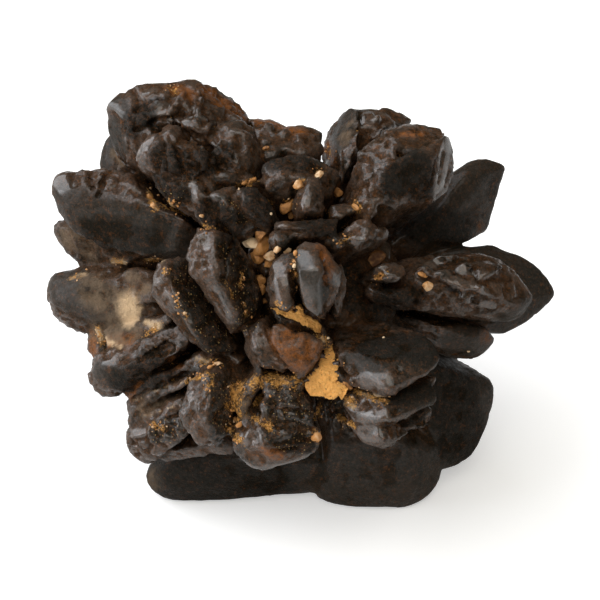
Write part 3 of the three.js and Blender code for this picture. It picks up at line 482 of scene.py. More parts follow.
def apply_modifier(piece, modifier):
    pick(piece)
    bpy.ops.object.modifier_apply(modifier=modifier.name)


def resize(piece, factor):
    pick(piece)
    piece.scale = (factor, factor, factor)
    bpy.ops.object.transform_apply(location=True, rotation=True, scale=True)


def copy_of_node(node, name):
    """A copy of a CAD node, merged into one closed skin, a thousand times its size."""
    source = frame["nodes"][node]
    pick(source)
    bpy.ops.object.duplicate()
    piece = bpy.context.object
    bpy.ops.object.parent_clear(type="CLEAR_KEEP_TRANSFORM")
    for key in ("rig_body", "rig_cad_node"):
        if key in piece:
            del piece[key]
    piece.name = name
    piece.data.name = name
    bpy.ops.object.mode_set(mode="EDIT")
    bpy.ops.mesh.select_all(action="SELECT")
    bpy.ops.mesh.remove_doubles(threshold=1e-6)
    bpy.ops.object.mode_set(mode="OBJECT")
    resize(piece, MM)
    return piece


def remesh(piece, cell):
    modifier = piece.modifiers.new("skin", "REMESH")
    modifier.mode = "VOXEL"
    modifier.voxel_size = cell
    apply_modifier(piece, modifier)


def thin(piece, faces):
    count = sum(len(face.vertices) - 2 for face in piece.data.polygons)
    if count <= faces:
        return
    modifier = piece.modifiers.new("thin", "DECIMATE")
    modifier.ratio = faces / count
    apply_modifier(piece, modifier)


def join(piece, others):
    pick(piece)
    for other in others:
        other.select_set(True)
    bpy.ops.object.join()


def remove(piece):
    bpy.data.objects.remove(piece)


def finish_piece(piece, material, slot, *nodes):
    """Brings a piece back to its true size, dresses it, hangs it on the root body and hides the CAD
    nodes that it stands in for.
    """
    resize(piece, 1 / MM)
    piece.data.materials.clear()
    piece.data.materials.append(material)
    pick(piece)
    bpy.ops.object.shade_smooth()
    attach(piece, "root")
    if nodes:
        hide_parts(*nodes)


class Face:
    """The front of a piece as it is seen from the camera, to find places on it. The piece is a
    thousand times its size, or, with a unit of MM, its true size."""

    def __init__(self, piece, unit=1.0):
        self.tree = BVHTree.FromObject(piece, bpy.context.evaluated_depsgraph_get())
        self.eye = spot(*AIM, EYE_OUT)
        self.unit = unit

    def hit(self, u, v):
        """The place and the normal of the surface seen at U, V, or None twice beside the stone."""
        way = (spot(u, v, 0) - self.eye).normalized()
        place, normal, _, _ = self.tree.ray_cast(self.eye / self.unit, way)
        return place and place * self.unit, normal

    def marks(self, name, strokes, step=FINE_STEP):
        """A set of points on the surface along strokes. Each stroke is its breadth, then U and V
        of its corners."""
        places, breadths = [], []
        for breadth, *corners in strokes:
            corners = [Vector(corner) for corner in corners]
            line = [corners[0]]
            for start, end in zip(corners, corners[1:]):
                count = max(1, round((end - start).length / step))
                line += [start.lerp(end, i / count) for i in range(1, count + 1)]
            for place in filter(None, (self.hit(u, v)[0] for u, v in line)):
                places.append(place)
                breadths.append(breadth)
        mesh = bpy.data.meshes.new(name)
        mesh.from_pydata(places, [], [])
        mesh.attributes.new("breadth", "FLOAT", "POINT").data.foreach_set("value", breadths)
        marks = bpy.data.objects.new(name, mesh)
        bpy.context.scene.collection.objects.link(marks)
        return marks


# ---------------------------------------------------------------- the iron stone

# All places below are U, V on the rosette's face in mm. A stroke is its half breadth, then the
# corners of the line that it follows.

SOIL_NODES = ("soil_wedge", "soil_seam", "soil_pocket")

# Knobs grown on the crystals: U, V, then length, breadth and height, and the turn of the length in
# degrees from U.
KNOBS = [
    (-10.6, 14.2, 2.2, 0.9, 0.35, 35),
    (-8.9, 14.6, 1.8, 0.8, 0.3, 60),
    (-7.7, 13.5, 1.6, 0.6, 0.35, 75),
    (-6.9, 12.3, 1.5, 0.6, 0.3, 60),
    (-4.3, 11.9, 1.8, 0.9, 0.3, 10),
    (-6.1, 11.3, 1.3, 0.6, 0.25, 50),
    (-10.4, 12.0, 1.2, 0.7, 0.3, 40),
    (-16.3, 8.5, 1.0, 0.6, 0.3, 60),
    (-14.9, 8.3, 1.2, 0.5, 0.3, 70),
    (10.8, 2.75, 2.6, 0.6, 0.5, 5),
    (12.2, 2.1, 1.6, 0.8, 0.55, -10),
    (14.2, 1.7, 1.8, 0.6, 0.5, 25),
    (12.2, -0.1, 1.0, 0.8, 0.5, 0),
    (13.1, 0.5, 1.0, 0.7, 0.5, 30),
    (10.5, 1.5, 1.2, 0.7, 0.45, -20),
    (9.2, 2.0, 0.9, 0.6, 0.4, 20),
    (6.0, 2.0, 1.4, 0.8, 0.4, 15),
    (7.0, 1.4, 0.9, 0.6, 0.35, -20),
    (4.6, 10.4, 1.3, 0.6, 0.3, 60),
    (6.3, 11.3, 1.5, 0.7, 0.3, 35),
    (6.5, 9.6, 1.2, 0.6, 0.3, 20),
    (4.7, 13.0, 1.2, 0.6, 0.3, 80),
    (5.6, 12.9, 1.2, 0.5, 0.3, 75),
    (-7.4, 4.1, 1.0, 0.7, 0.25, 30),
    (-7.2, 2.6, 1.1, 0.6, 0.25, 70),
    (-10.5, 1.0, 0.9, 0.5, 0.25, 20),
    (-9.9, 0.0, 0.9, 0.5, 0.25, 10),
    (-1.3, 5.0, 1.2, 0.6, 0.2, 0),
    (-2.6, 12.4, 1.2, 0.8, 0.25, 20),
    (-1.2, 11.9, 1.4, 0.7, 0.25, -10),
]

# Narrow cuts between lumps and along the crystals.
CRACKS = [
    (0.3, (-12.3, 12.2), (-10.6, 12.9), (-9.5, 13.0), (-9.1, 12.3), (-8.0, 11.9), (-7.0, 11.3)),
    (0.28, (-12.5, 15.3), (-12.1, 14.7), (-11.9, 14.1), (-12.1, 13.6)),
    (0.3, (-11.9, 14.0), (-11.2, 14.3), (-10.3, 14.5)),
    (0.25, (-9.5, 15.7), (-9.5, 14.6), (-9.9, 14.0)),
    (0.25, (-8.1, 14.7), (-8.0, 13.6), (-8.6, 13.3), (-9.4, 13.3)),
    (0.25, (-11.3, 8.8), (-10.2, 8.9), (-9.0, 8.6)),
    (0.25, (-10.1, 10.2), (-10.0, 9.0)),
    (0.3, (-9.2, 11.0), (-8.8, 10.3), (-9.1, 9.9)),
    (0.25, (-7.5, 11.8), (-7.6, 10.9), (-6.6, 10.9)),
    (0.22, (-6.3, 11.6), (-6.2, 10.2), (-5.9, 9.4)),
    (0.3, (1.55, 3.2), (1.75, 2.3), (1.75, 1.4), (1.9, 0.9)),
    (0.3, (10.0, 2.5), (11.6, 2.4), (12.8, 1.7), (13.2, 1.0)),
    (0.3, (9.0, 1.3), (10.2, 0.9), (11.4, 0.3), (13.0, -0.5)),
    (0.25, (13.4, 0.9), (14.4, 1.3), (15.5, 1.1)),
    (0.22, (-2.5, -2.4), (-2.2, -3.6), (-1.8, -4.5), (-1.1, -5.5)),
    (0.22, (1.15, -7.9), (1.1, -9.6)),
    (0.22, (-2.6, -9.6), (0.9, -9.9)),
    (0.22, (-1.8, -11.0), (0.9, -10.6)),
    (0.2, (-2.4, -8.4), (0.6, -8.5)),
    (0.2, (-2.2, -11.6), (-0.2, -11.3)),
    (0.3, (-17.0, 8.9), (-16.9, 8.2)),
    (0.28, (-15.6, 8.9), (-15.5, 7.9)),
    (0.28, (-14.6, 8.9), (-14.7, 8.0), (-15.0, 7.4)),
    (0.2, (-5.0, 4.2), (-5.6, 2.4), (-5.3, 1.2)),
    (0.2, (4.2, 4.9), (3.4, 4.5), (3.2, 3.8)),
    (0.25, (4.3, 13.5), (4.4, 12.6)),
    (0.2, (-1.9, 4.75), (-0.8, 4.65), (0.3, 4.7)),
    (0.2, (10.1, 10.9), (9.9, 9.6), (9.7, 8.2)),
    (0.2, (10.6, 10.6), (10.4, 9.4), (10.2, 8.4)),
]

# Where the surface is finely knobbed.
KNOBBY = [
    (1.0, (4.9, 10.6), (4.9, 9.0), (5.2, 7.6), (5.4, 6.5)),
    (0.9, (5.6, 10.7), (6.6, 11.6), (6.6, 10.4)),
    (0.9, (3.6, 4.3), (4.8, 4.6), (5.0, 5.4)),
    (0.9, (-7.4, 4.4), (-7.5, 3.2), (-7.2, 2.0)),
    (0.7, (-10.6, 2.0), (-10.4, 1.0), (-10.1, -0.2)),
    (0.8, (-8.0, -6.4), (-7.8, -8.6)),
    (1.0, (-1.9, -8.6), (0.2, -9.0)),
    (0.9, (-3.9, -9.6), (-3.6, -11.0)),
    (0.7, (3.2, -4.6), (3.8, -5.4)),
    (1.0, (9.5, -0.4), (12.5, -0.8)),
    (0.8, (-1.9, 4.0), (-1.3, 4.1)),
    (0.9, (-2.8, 12.6), (-1.2, 12.0), (0.6, 11.8)),
    (0.8, (3.6, -7.6), (5.6, -7.9)),
    (0.8, (1.8, -8.5), (2.8, -8.6)),
    (0.8, (-10.4, -9.9), (-9.6, -9.8)),
]

# Where it is broken into coarse angular lumps.
LUMPY = [
    (1.8, (-11.0, 14.4), (-8.6, 14.8), (-6.6, 13.8)),
    (2.2, (-10.4, 10.4), (-7.8, 10.2), (-5.0, 10.8)),
    (1.4, (-10.0, 7.8), (-8.8, 7.2)),
    (1.6, (-16.6, 8.6), (-14.0, 8.4)),
    (1.4, (4.6, 12.8), (6.0, 12.9)),
    (1.6, (9.6, 2.0), (12.4, 1.2), (14.6, 1.2)),
    (1.2, (-1.6, -8.8), (-0.2, -10.4)),
    (1.2, (-12.4, -11.4), (-10.8, -11.2)),
    (1.2, (-12.0, -4.0), (-10.0, -3.4)),
    (1.0, (-6.0, 14.6), (-4.8, 13.8)),
    (1.0, (3.2, -5.4), (3.6, -6.0)),
]

# Facets that stay smooth and take a shine; their colour is also painted grey, as a painted
# highlight.
POLISHED_HIGHLIGHTS = [
    (0.3, (-14.2, 14.1), (-13.6, 13.6), (-13.0, 13.1)),
    (0.5, (-11.95, 10.5), (-11.6, 11.1), (-11.0, 11.7)),
    (0.3, (-10.9, 13.4), (-10.3, 13.7), (-9.9, 14.1)),
    (0.35, (-9.6, 12.9), (-8.6, 12.9)),
    (0.3, (-8.0, 13.8), (-7.5, 13.2), (-6.9, 13.0)),
    (0.3, (-7.0, 12.3), (-6.6, 12.6)),
    (0.35, (-5.0, 12.3), (-4.5, 12.0)),
    (0.3, (-6.5, 11.2), (-6.1, 10.7)),
    (0.3, (-11.5, 15.0), (-10.9, 15.2)),
    (0.8, (-17.8, 8.6), (-17.5, 8.2)),
    (0.7, (4.8, -6.3), (5.5, -6.4), (6.2, -6.45)),
    (0.5, (4.0, -8.95), (5.2, -8.95), (6.3, -8.9)),
    (0.75, (4.6, -10.2), (5.5, -10.3)),
    (0.42, (-12.4, -10.3), (-11.7, -10.2)),
    (0.28, (-14.5, -4.95), (-13.9, -4.8)),
    (0.75, (-1.45, 1.1), (-1.4, -0.6)),
    (0.5, (-1.7, 2.1), (-1.3, 1.6)),
    (0.9, (0.6, 1.5), (0.65, 0.1), (0.8, -1.0)),
    (0.7, (0.3, 2.9), (0.8, 2.5)),
    (0.45, (0.0, 3.85), (0.8, 3.8)),
    (0.5, (2.5, 1.7), (2.7, 1.0)),
    (0.3, (-6.3, 0.5), (-5.8, -0.6), (-5.3, -1.5)),
    (0.4, (-7.2, 4.5), (-7.0, 3.6)),
    (0.35, (-10.7, 1.0), (-10.3, 1.1)),
    (0.35, (-10.0, 0.1), (-9.8, -0.1)),
    (0.45, (-8.2, -7.4), (-7.8, -8.4)),
    (0.6, (-4.2, -10.7), (-3.4, -10.6)),
    (0.4, (-4.4, -8.6), (-4.1, -8.1)),
    (0.25, (-4.5, -12.2), (-3.2, -12.9), (-1.2, -12.5), (0.5, -11.9)),
    (0.3, (-6.7, 7.4), (-6.4, 7.1)),
    (0.35, (-4.3, 7.4), (-4.0, 7.2)),
    (0.35, (-8.0, 8.1), (-7.9, 7.2)),
    (0.35, (0.35, 7.2), (0.35, 6.6)),
    (0.3, (-3.2, 8.9), (-2.7, 9.7)),
    (0.35, (-1.7, 5.1), (-1.1, 5.1)),
    (0.4, (3.6, 4.1), (4.3, 3.9)),
    (0.5, (10.1, 1.7), (11.2, 1.2), (12.2, 0.8)),
    (0.5, (12.7, 0.8), (13.6, 0.3)),
    (0.5, (11.8, 2.1), (12.6, 1.7)),
    (0.5, (9.2, 2.1), (10.1, 2.6)),
    (0.4, (11.9, 0.1), (12.5, -0.3)),
    (0.35, (13.4, -0.7), (14.2, -0.9)),
    (0.3, (13.2, 1.4), (14.0, 1.5), (14.7, 2.0)),
    (0.25, (9.9, 2.9), (12.2, 2.8)),
    (0.45, (6.2, 1.2), (7.1, 1.1)),
    (0.45, (5.6, 1.8), (6.6, 2.3)),
    (0.95, (10.8, 11.0), (10.6, 9.6), (10.2, 8.2)),
    (0.5, (4.6, 12.7), (5.6, 13.0)),
    (0.35, (10.5, 1.9), (10.5, 1.3)),
]

# Blades that are evenly worn, with a smooth outline.
EVEN = [
    (4.6, (-10.4, -13.6), (-5.0, -14.2), (-1.0, -13.8)),
    (5.0, (1.5, -12.8), (6.0, -14.6), (8.8, -13.8)),
    (5.0, (10.6, -6.4), (13.0, -8.5), (11.4, -11.6)),
    (4.0, (11.0, 4.4), (12.9, 7.0), (14.4, 9.8)),
    (4.0, (14.6, 3.4), (17.4, 1.0), (18.4, 0.0)),
    (2.4, (16.2, -1.6), (14.4, -3.4), (12.0, -3.6)),
    (1.8, (2.6, 11.4), (3.2, 12.9), (4.2, 14.2)),
    (1.9, (-14.8, 10.4), (-14.0, 11.6)),
    (0.9, (-13.6, 14.3), (-13.2, 13.6)),
    (1.0, (-13.8, 12.4), (-13.2, 11.0)),
    (2.4, (-17.2, 6.6), (-14.0, 5.4), (-11.0, 4.6), (-9.6, 3.4)),
    (2.4, (-17.6, 0.8), (-15.6, -0.6), (-13.2, -2.0)),
    (2.0, (5.4, -3.9), (7.4, -3.8), (9.4, -4.0)),
    (0.8, (3.6, -4.7), (4.6, -5.2), (6.0, -5.3)),
    (1.5, (7.4, -7.4), (9.0, -7.6)),
    (1.6, (7.4, 8.6), (8.6, 9.8)),
    (1.0, (-1.0, 3.6), (1.6, 0.0)),
    (1.4, (-13.8, -6.2), (-15.0, -5.6)),
]

# Pale sand caked on the stone.
SANDY = [
    (1.7, (-12.7, -0.7), (-12.45, -1.7)),
    (0.5, (-11.5, -2.0), (-10.4, -2.2)),
    (0.13, (-12.7, -7.85), (-11.2, -7.3), (-9.8, -6.75), (-8.5, -6.3)),
    (0.12, (-12.6, -9.4), (-11.0, -8.85), (-9.3, -8.1)),
    (0.4, (-15.1, -2.6), (-14.7, -3.4), (-13.4, -3.8)),
    (0.5, (-17.0, 1.3), (-16.0, 1.5)),
    (0.3, (-7.6, -4.8), (-6.8, -5.0)),
    (0.35, (-11.3, 7.7), (-10.8, 6.6)),
    (0.35, (-9.5, 6.8), (-9.2, 6.3)),
    (0.4, (-13.9, 2.4), (-13.0, 2.3)),
    (0.3, (-11.4, 2.7), (-10.2, 2.6)),
    (0.35, (4.4, -7.2), (5.4, -7.4), (6.4, -7.7)),
    (0.25, (2.3, -3.9), (2.8, -4.9), (3.0, -5.9)),
    (0.3, (1.2, -2.6), (1.7, -3.3)),
    (0.35, (3.2, -7.9), (4.0, -8.2)),
]

# Broad faces that stay dark, and hollows and feet painted darker as painted shade where the light
# does not reach.
DARK_AND_SHADED = [
    (1.4, (-15.4, 4.6), (-13.6, 4.4), (-11.0, 4.0)),
    (1.7, (5.4, -3.8), (7.4, -3.6), (9.4, -3.8)),
    (0.8, (7.2, -7.6), (9.6, -7.0)),
    (1.3, (-12.6, 12.6), (-11.6, 13.4)),
    (3.2, (-9.8, -14.0), (-3.0, -14.0)),
    (3.0, (11.2, -6.8), (12.0, -10.6)),
    (1.0, (6.6, 0.2), (8.0, -0.4)),
    (1.0, (-7.0, 9.4), (-5.6, 10.6)),
    (0.6, (7.6, -9.4), (8.8, -9.0)),
    (1.6, (7.2, 8.4), (8.4, 9.4), (9.0, 8.0)),
    (1.8, (7.6, 5.6), (9.6, 5.2), (11.6, 4.6)),
    (1.2, (8.2, -0.2), (6.2, -0.2)),
    (1.3, (-5.2, 3.6), (-4.2, 1.0), (-4.0, -1.4)),
    (1.3, (-8.2, 0.8), (-7.0, -2.0), (-6.2, -4.0)),
    (1.4, (-10.4, 10.2), (-8.4, 9.8), (-6.4, 9.9)),
    (1.2, (-10.4, 8.0), (-9.0, 7.2)),
    (1.4, (-6.6, 6.2), (-5.2, 5.2)),
    (1.3, (-3.4, 7.4), (-2.4, 6.0)),
    (1.0, (-2.0, 9.8), (0.6, 9.6)),
    (1.2, (0.6, 5.4), (2.4, 5.2)),
    (1.6, (-13.0, -6.4), (-10.4, -5.2), (-9.0, -4.6)),
    (1.2, (-8.4, -4.2), (-7.6, -4.2)),
    (0.6, (-1.3, -11.3), (0.6, -11.2)),
    (0.3, (1.2, -7.9), (1.15, -9.6)),
    (1.6, (5.4, -1.2), (8.2, -1.4)),
    (1.0, (3.6, 1.8), (3.9, -0.6)),
]

# Thin smears of soil.
SOIL_SMEARS = [
    (0.6, (1.2, -2.5), (1.6, -3.3), (2.5, -4.6), (2.8, -5.8)),
    (0.55, (2.9, -6.6), (3.9, -7.0), (5.0, -7.4), (6.3, -7.8)),
    (0.6, (3.2, -7.6), (3.9, -7.9)),
    (0.6, (3.0, -9.2), (3.8, -9.6)),
    (1.3, (-4.4, -6.6), (-4.8, -7.6), (-4.6, -8.6)),
    (0.5, (-4.6, -9.3), (-5.3, -9.9)),
    (0.9, (-3.6, -6.6), (-2.4, -6.2), (-2.2, -5.9)),
    (0.9, (-2.2, -6.5), (-1.2, -6.4), (-0.2, -6.4)),
    (0.8, (-3.4, -8.0), (-2.8, -7.4)),
    (0.6, (-3.3, -9.2), (-2.4, -9.7)),
    (0.6, (1.0, -10.2), (1.3, -10.7)),
    (0.6, (-4.8, -10.4), (-4.4, -10.9)),
    (0.4, (-7.6, -5.1), (-6.6, -4.9), (-5.8, -5.3)),
    (0.4, (-8.4, -6.4), (-7.4, -5.9), (-6.6, -5.9)),
    (0.6, (-6.7, -6.0), (-6.9, -7.0)),
    (0.3, (-5.5, 1.0), (-5.2, 0.2), (-5.0, -0.2)),
    (0.3, (-4.3, 1.6), (-4.4, 0.8), (-4.2, 0.5)),
    (0.35, (-4.2, -0.6), (-3.9, -1.9)),
    (0.35, (-9.9, 1.9), (-9.5, 1.5)),
    (0.35, (-9.2, 0.1), (-9.1, -0.7), (-8.6, -1.6)),
    (0.6, (-17.0, 1.3), (-16.2, 1.4)),
    (0.4, (-15.1, -2.4), (-14.7, -3.6)),
    (0.6, (-11.3, 7.7), (-10.7, 6.5)),
    (0.6, (-9.6, 6.8), (-9.2, 6.4)),
    (0.8, (-10.6, 7.0), (-9.6, 6.4), (-8.6, 6.0)),
    (0.5, (-11.2, 2.6), (-10.4, 2.6)),
    (0.5, (-13.7, 2.4), (-13.2, 2.2)),
    (0.5, (-10.9, -9.7), (-10.2, -9.9)),
    (0.5, (-11.4, -3.0), (-10.4, -2.2)),
    (0.6, (-1.0, 7.0), (-0.8, 6.3)),
    (0.4, (1.2, 8.9), (1.5, 9.2)),
    (0.4, (-0.3, 8.2), (0.1, 8.5)),
    (0.5, (-4.6, 8.0), (-3.4, 8.5)),
    (0.3, (-0.4, 3.3), (-0.48, 2.6), (-0.5, 2.0), (-0.4, 1.2), (-0.35, 0.3), (-0.3, -0.4)),
    (0.5, (-1.9, -0.8), (-0.6, -1.6), (0.8, -2.2)),
    (0.6, (3.9, 7.0), (4.3, 6.3)),
    (0.5, (2.0, 10.9), (2.2, 10.3)),
    (0.5, (-9.7, 15.6), (-9.2, 15.1)),
    (0.5, (-7.4, 5.1), (-6.6, 4.9)),
    (0.5, (6.2, 1.6), (5.6, 1.2)),
    (0.5, (3.6, 4.4), (2.8, 3.9)),
    (0.5, (1.2, -9.0), (1.4, -8.2)),
]

# Rust.
RUST_PATCHES = [
    (0.7, (1.6, 3.4), (2.1, 2.2), (1.9, 1.2)),
    (1.9, (-0.9, -3.4), (0.3, -4.6)),
    (1.5, (-6.6, 15.0), (-4.6, 13.6)),
    (0.6, (7.6, 11.9), (9.0, 12.0)),
    (0.6, (-15.6, -3.0), (-15.4, -4.4)),
    (0.5, (13.3, 5.2), (13.5, 4.8)),
    (1.0, (-9.4, 15.4), (-8.4, 15.0)),
    (0.35, (-13.6, -8.4), (-11.6, -6.2)),
    (0.7, (1.9, 10.9), (2.4, 10.2)),
    (1.0, (-3.0, 12.9), (-0.2, 12.2)),
    (0.7, (13.6, -2.9), (13.9, -3.2)),
    (0.6, (-2.8, -11.6), (-1.6, -12.0)),
    (0.8, (2.6, 7.7), (2.8, 7.4)),
    (0.8, (-14.2, -3.4), (-12.6, -3.4)),
    (0.5, (-9.6, -4.6), (-9.0, -5.2)),
]

# Grey dust.
DUST_PATCHES = [
    (2.0, (-15.4, 0.4), (-13.4, -1.0)),
    (1.6, (-15.0, -2.8), (-12.6, -2.8)),
    (1.0, (-12.4, 1.2), (-11.4, 0.4)),
    (1.6, (-17.4, 4.2), (-15.6, 3.2)),
    (1.2, (-11.6, -8.4), (-9.4, -7.4)),
    (1.0, (-10.8, -13.4), (-11.0, -14.0)),
    (0.9, (3.4, 12.6), (3.2, 11.4)),
    (0.8, (-13.8, 10.6), (-13.0, 9.6)),
    (0.7, (-4.3, -8.8), (-4.2, -8.0)),
]

# Dark broad faces with specks of sand stuck to them.
SPECKLED = [
    (1.5, (-5.4, 3.4), (-4.6, 1.6), (-4.2, 0.0), (-4.0, -1.6)),
    (1.6, (-8.6, 1.6), (-7.8, -0.6), (-6.8, -2.6), (-6.2, -3.8)),
    (1.2, (-6.2, -6.6), (-6.0, -8.6), (-5.9, -10.2)),
    (1.2, (-1.6, -7.0), (-0.4, -7.2)),
    (1.3, (-1.8, -8.4), (0.4, -8.8)),
    (1.2, (-2.0, -10.4), (0.2, -11.0)),
    (1.0, (2.0, -8.6), (3.0, -8.6)),
    (0.7, (-5.6, 7.0), (-4.6, 5.6)),
    (0.7, (-10.2, 7.8), (-8.8, 7.2)),
    (1.0, (-10.6, -10.4), (-9.4, -9.8)),
]

MASKS = {
    "knobby": (KNOBBY, 0.7, 0.9),
    "lumpy": (LUMPY, 0.7, 0.6),
    "polished": (POLISHED_HIGHLIGHTS, 0.15, 1.2),
    "even": (EVEN, 0.6, 0.6),
    "shade": (DARK_AND_SHADED, 0.4, 1.0),
    "sandy": (SANDY, 0.4, 1.8),
    "smear": (SOIL_SMEARS, 0.4, 2.2),
    "rusty": (RUST_PATCHES, 0.9, 1.0),
    "dusty": (DUST_PATCHES, 0.9, 0.9),
    "speckled": (SPECKLED, 0.5, 1.0),
}


FAR = 12.0  # further than any blade is wide, mm
UNDER = 0.2  # a ray that measures a blade starts this far under its surface, mm


def measure(stone, plain):
    """Finds, for every point, whether it lies on a blade's narrow side or on its end."""
    work = Carving("measure")
    target = work.shape_of(plain)
    inputs = {"Mesh": target, "Value": work.facing}
    nearest = work.add("GeometryNodeSampleNearestSurface", inputs, data_type="FLOAT_VECTOR")
    facet = nearest.outputs[0]
    out = work.outward()
    outness = work.vector("DOT_PRODUCT", out, facet)
    flat = work.vector("SCALE", facet, scale=outness)
    along = work.vector("NORMALIZE", work.vector("SUBTRACT", out, flat))
    across = work.vector("CROSS_PRODUCT", along, facet)
    start = work.vector("SUBTRACT", work.place, work.vector("SCALE", facet, scale=UNDER))
    deep = work.reach(target, start, work.vector("SCALE", facet, scale=-1.0), FAR)
    left = work.reach(target, start, across, FAR)
    right = work.reach(target, start, work.vector("SCALE", across, scale=-1.0), FAR)
    wide = work.plus(left, right)
    ratio = work.sum("DIVIDE", work.less(deep, wide), work.plus(deep, wide))
    work.keep("narrow", work.between(ratio, -0.15, 0.3))
    work.keep("end", work.between(outness, 0.6, 0.85))
    front = work.vector("DOT_PRODUCT", work.away(), tuple(OUTWARD))
    work.keep("rear", work.between(front, 3.0, -1.5))
    work.apply(stone)

    work = Carving("soften")
    for name, rounds in (("narrow", 8), ("end", 5)):
        work.keep(name, work.blurred(work.mask(name), rounds))
    work.apply(stone)


def rub(stone, rounds, where=None):
    """Wears the edges round, everywhere or where a mask says."""
    work = Carving("rub")
    weight = work.mask(where) if where else 1.0
    work.shift(Position=work.blurred(work.place, rounds, "FLOAT_VECTOR", weight))
    work.apply(stone)


def paint(stone, name, marks, ragged, fine):
    """Keeps a mask of how near the surface is to some marks, with a ragged edge."""
    work = Carving("paint")
    work.keep(name, work.near(marks, work.stray(work.place, fine, ragged, 3.0)))
    work.apply(stone)


def rosette_lines(work):
    """A place that changes across the blades and hardly along them."""
    length = work.vector("LENGTH", work.away())
    drift = work.add("ShaderNodeCombineXYZ", {0: length, 1: length, 2: length}).outputs[0]
    lines = work.vector("SCALE", work.outward(), scale=12.0)
    return work.vector("ADD", lines, work.vector("SCALE", drift, scale=0.08))


def facets(work, place, scale, tilt, jump):
    """Heights that break a surface into small tilted planes, as on split stone."""
    cell = work.cells(place, scale)
    chance = work.vector("SUBTRACT", cell.outputs["Color"], (0.5, 0.5, 0.5))
    away = work.vector("SUBTRACT", place, cell.outputs["Position"])
    slope = work.times(work.vector("DOT_PRODUCT", away, chance), tilt)
    level = work.vector("DOT_PRODUCT", chance, (jump, jump, -jump))
    return work.plus(slope, level)


def carve(stone, settings):
    """Lumps, knobs, steps, creases and pits over the whole stone."""
    work = Carving("bend")
    slow = work.vector("SCALE", work.noise_vector(work.place, 0.3, 1.5), scale=0.45)
    work.shift(Offset=slow)
    work.apply(stone)

    work = Carving("carve")
    place = work.stray(work.place, 0.8, 0.7)
    narrow, end, rear = work.mask("narrow"), work.mask("end"), work.mask("rear")
    knobby = work.between(work.mask("knobby"), 0.0, 0.45)
    lumpy = work.between(work.mask("lumpy"), 0.0, 0.5)
    polished = work.between(work.mask("polished"), 0.0, 0.3)
    even = work.between(work.mask("even"), 0.0, 0.5)
    flat = work.times(polished, work.inverse(knobby), 0.9)
    free = work.times(work.inverse(flat), work.inverse(work.times(even, 0.85)))
    plain = work.inverse(work.times(end, 0.7))

    # the far side has patches of knobs and lumps of its own
    chance = work.noise(work.place, 0.16, 1.0)
    rear_lumps = work.times(rear, work.between(chance, 0.5, 0.6))
    chance = work.noise(work.place, 0.35, 1.0)
    rear_knobs = work.times(rear, narrow, work.between(chance, 0.45, 0.58))
    lumpy = work.times(work.most(lumpy, work.times(rear_lumps, 0.7)), free)
    knobby = work.times(work.most(knobby, work.times(rear_knobs, 0.8)), free)

    # a gently uneven skin of split planes
    nearby = work.stray(work.place, 1.4, 0.3)
    height = work.times(work.less(work.noise(work.place, 0.55, 2.0), 0.5), 0.35, free)
    height = work.plus(height, work.times(facets(work, nearby, 0.8, 0.2, 0.06), free))
    for scale, tilt, jump in ((1.9, 0.34, 0.04), (3.2, 0.3, 0.02)):
        planes = facets(work, nearby, scale, tilt, jump)
        height = work.plus(height, work.times(planes, free, plain))

    # angular lumps with creases between them
    height = work.plus(height, work.times(facets(work, place, 0.75, 0.42, 0.16), lumpy))
    gap = work.cells(place, 0.75, "DISTANCE_TO_EDGE").outputs["Distance"]
    crease = work.between(gap, 0.14, 0.0)
    height = work.less(height, work.times(crease, lumpy, settings.lump_height * 0.45))

    # rounded knobs
    fine = work.cells(place, 1.5).outputs["Distance"]
    knob = work.inverse(work.times(fine, fine, 1.6))
    height = work.plus(height, work.times(work.less(knob, 0.5), knobby, settings.knob_height))
    tiny = work.cells(place, 3.0).outputs["Distance"]
    bead = work.inverse(work.times(tiny, tiny, 1.6))
    beads = work.times(work.less(bead, 0.5), work.most(knobby, 0.3), free, 0.12)
    height = work.plus(height, beads)

    # growth steps and furrows that run along the blades
    lines = rosette_lines(work)
    broad = work.times(work.inverse(work.most(end, knobby)), free)
    height = work.plus(height, work.times(facets(work, lines, 0.8, 0.3, 0.25), broad, 0.35))
    furrow = work.less(work.noise(lines, 2.6, 3.0, 0.6), 0.5)
    height = work.plus(height, work.times(furrow, broad, 0.16))

    # dents and pits
    dents = work.between(work.noise(work.place, 1.3, 1.0), 0.58, 0.75)
    height = work.less(height, work.times(dents, free, 0.1))
    pit = work.cells(work.vector("ADD", work.place, (3.1, 7.7, 1.9)), 0.95)
    hole = work.between(pit.outputs["Distance"], 0.24, 0.1)
    few = work.between(work.noise(work.place, 0.7, 1.0), 0.5, 0.6)
    height = work.less(height, work.times(hole, few, free, 0.14))
    work.push(height)
    work.apply(stone)


def cut(stone, marks, depth):
    work = Carving("cut")
    near = work.near(marks, work.stray(work.place, 1.6, 0.25))
    work.push(work.times(work.between(near, 0.0, 0.9), -depth))
    work.apply(stone)


def rest_on_floor(stone):
    """Nothing reaches under the plane that the stone stands on."""
    work = Carving("rest")
    parts = work.add("ShaderNodeSeparateXYZ", {0: work.place})
    level = work.sum("MAXIMUM", parts.outputs[2], 0.0)
    inputs = {0: parts.outputs[0], 1: parts.outputs[1], 2: level}
    work.shift(Position=work.add("ShaderNodeCombineXYZ", inputs).outputs[0])
    work.apply(stone)


SKY_RAYS = 26  # from each point, spread over the half of the sky that it faces
SKY_REACH = 5.0  # a ray that goes this far is free, mm
RAY_LIFT = 0.03  # a ray starts this far above the surface, mm


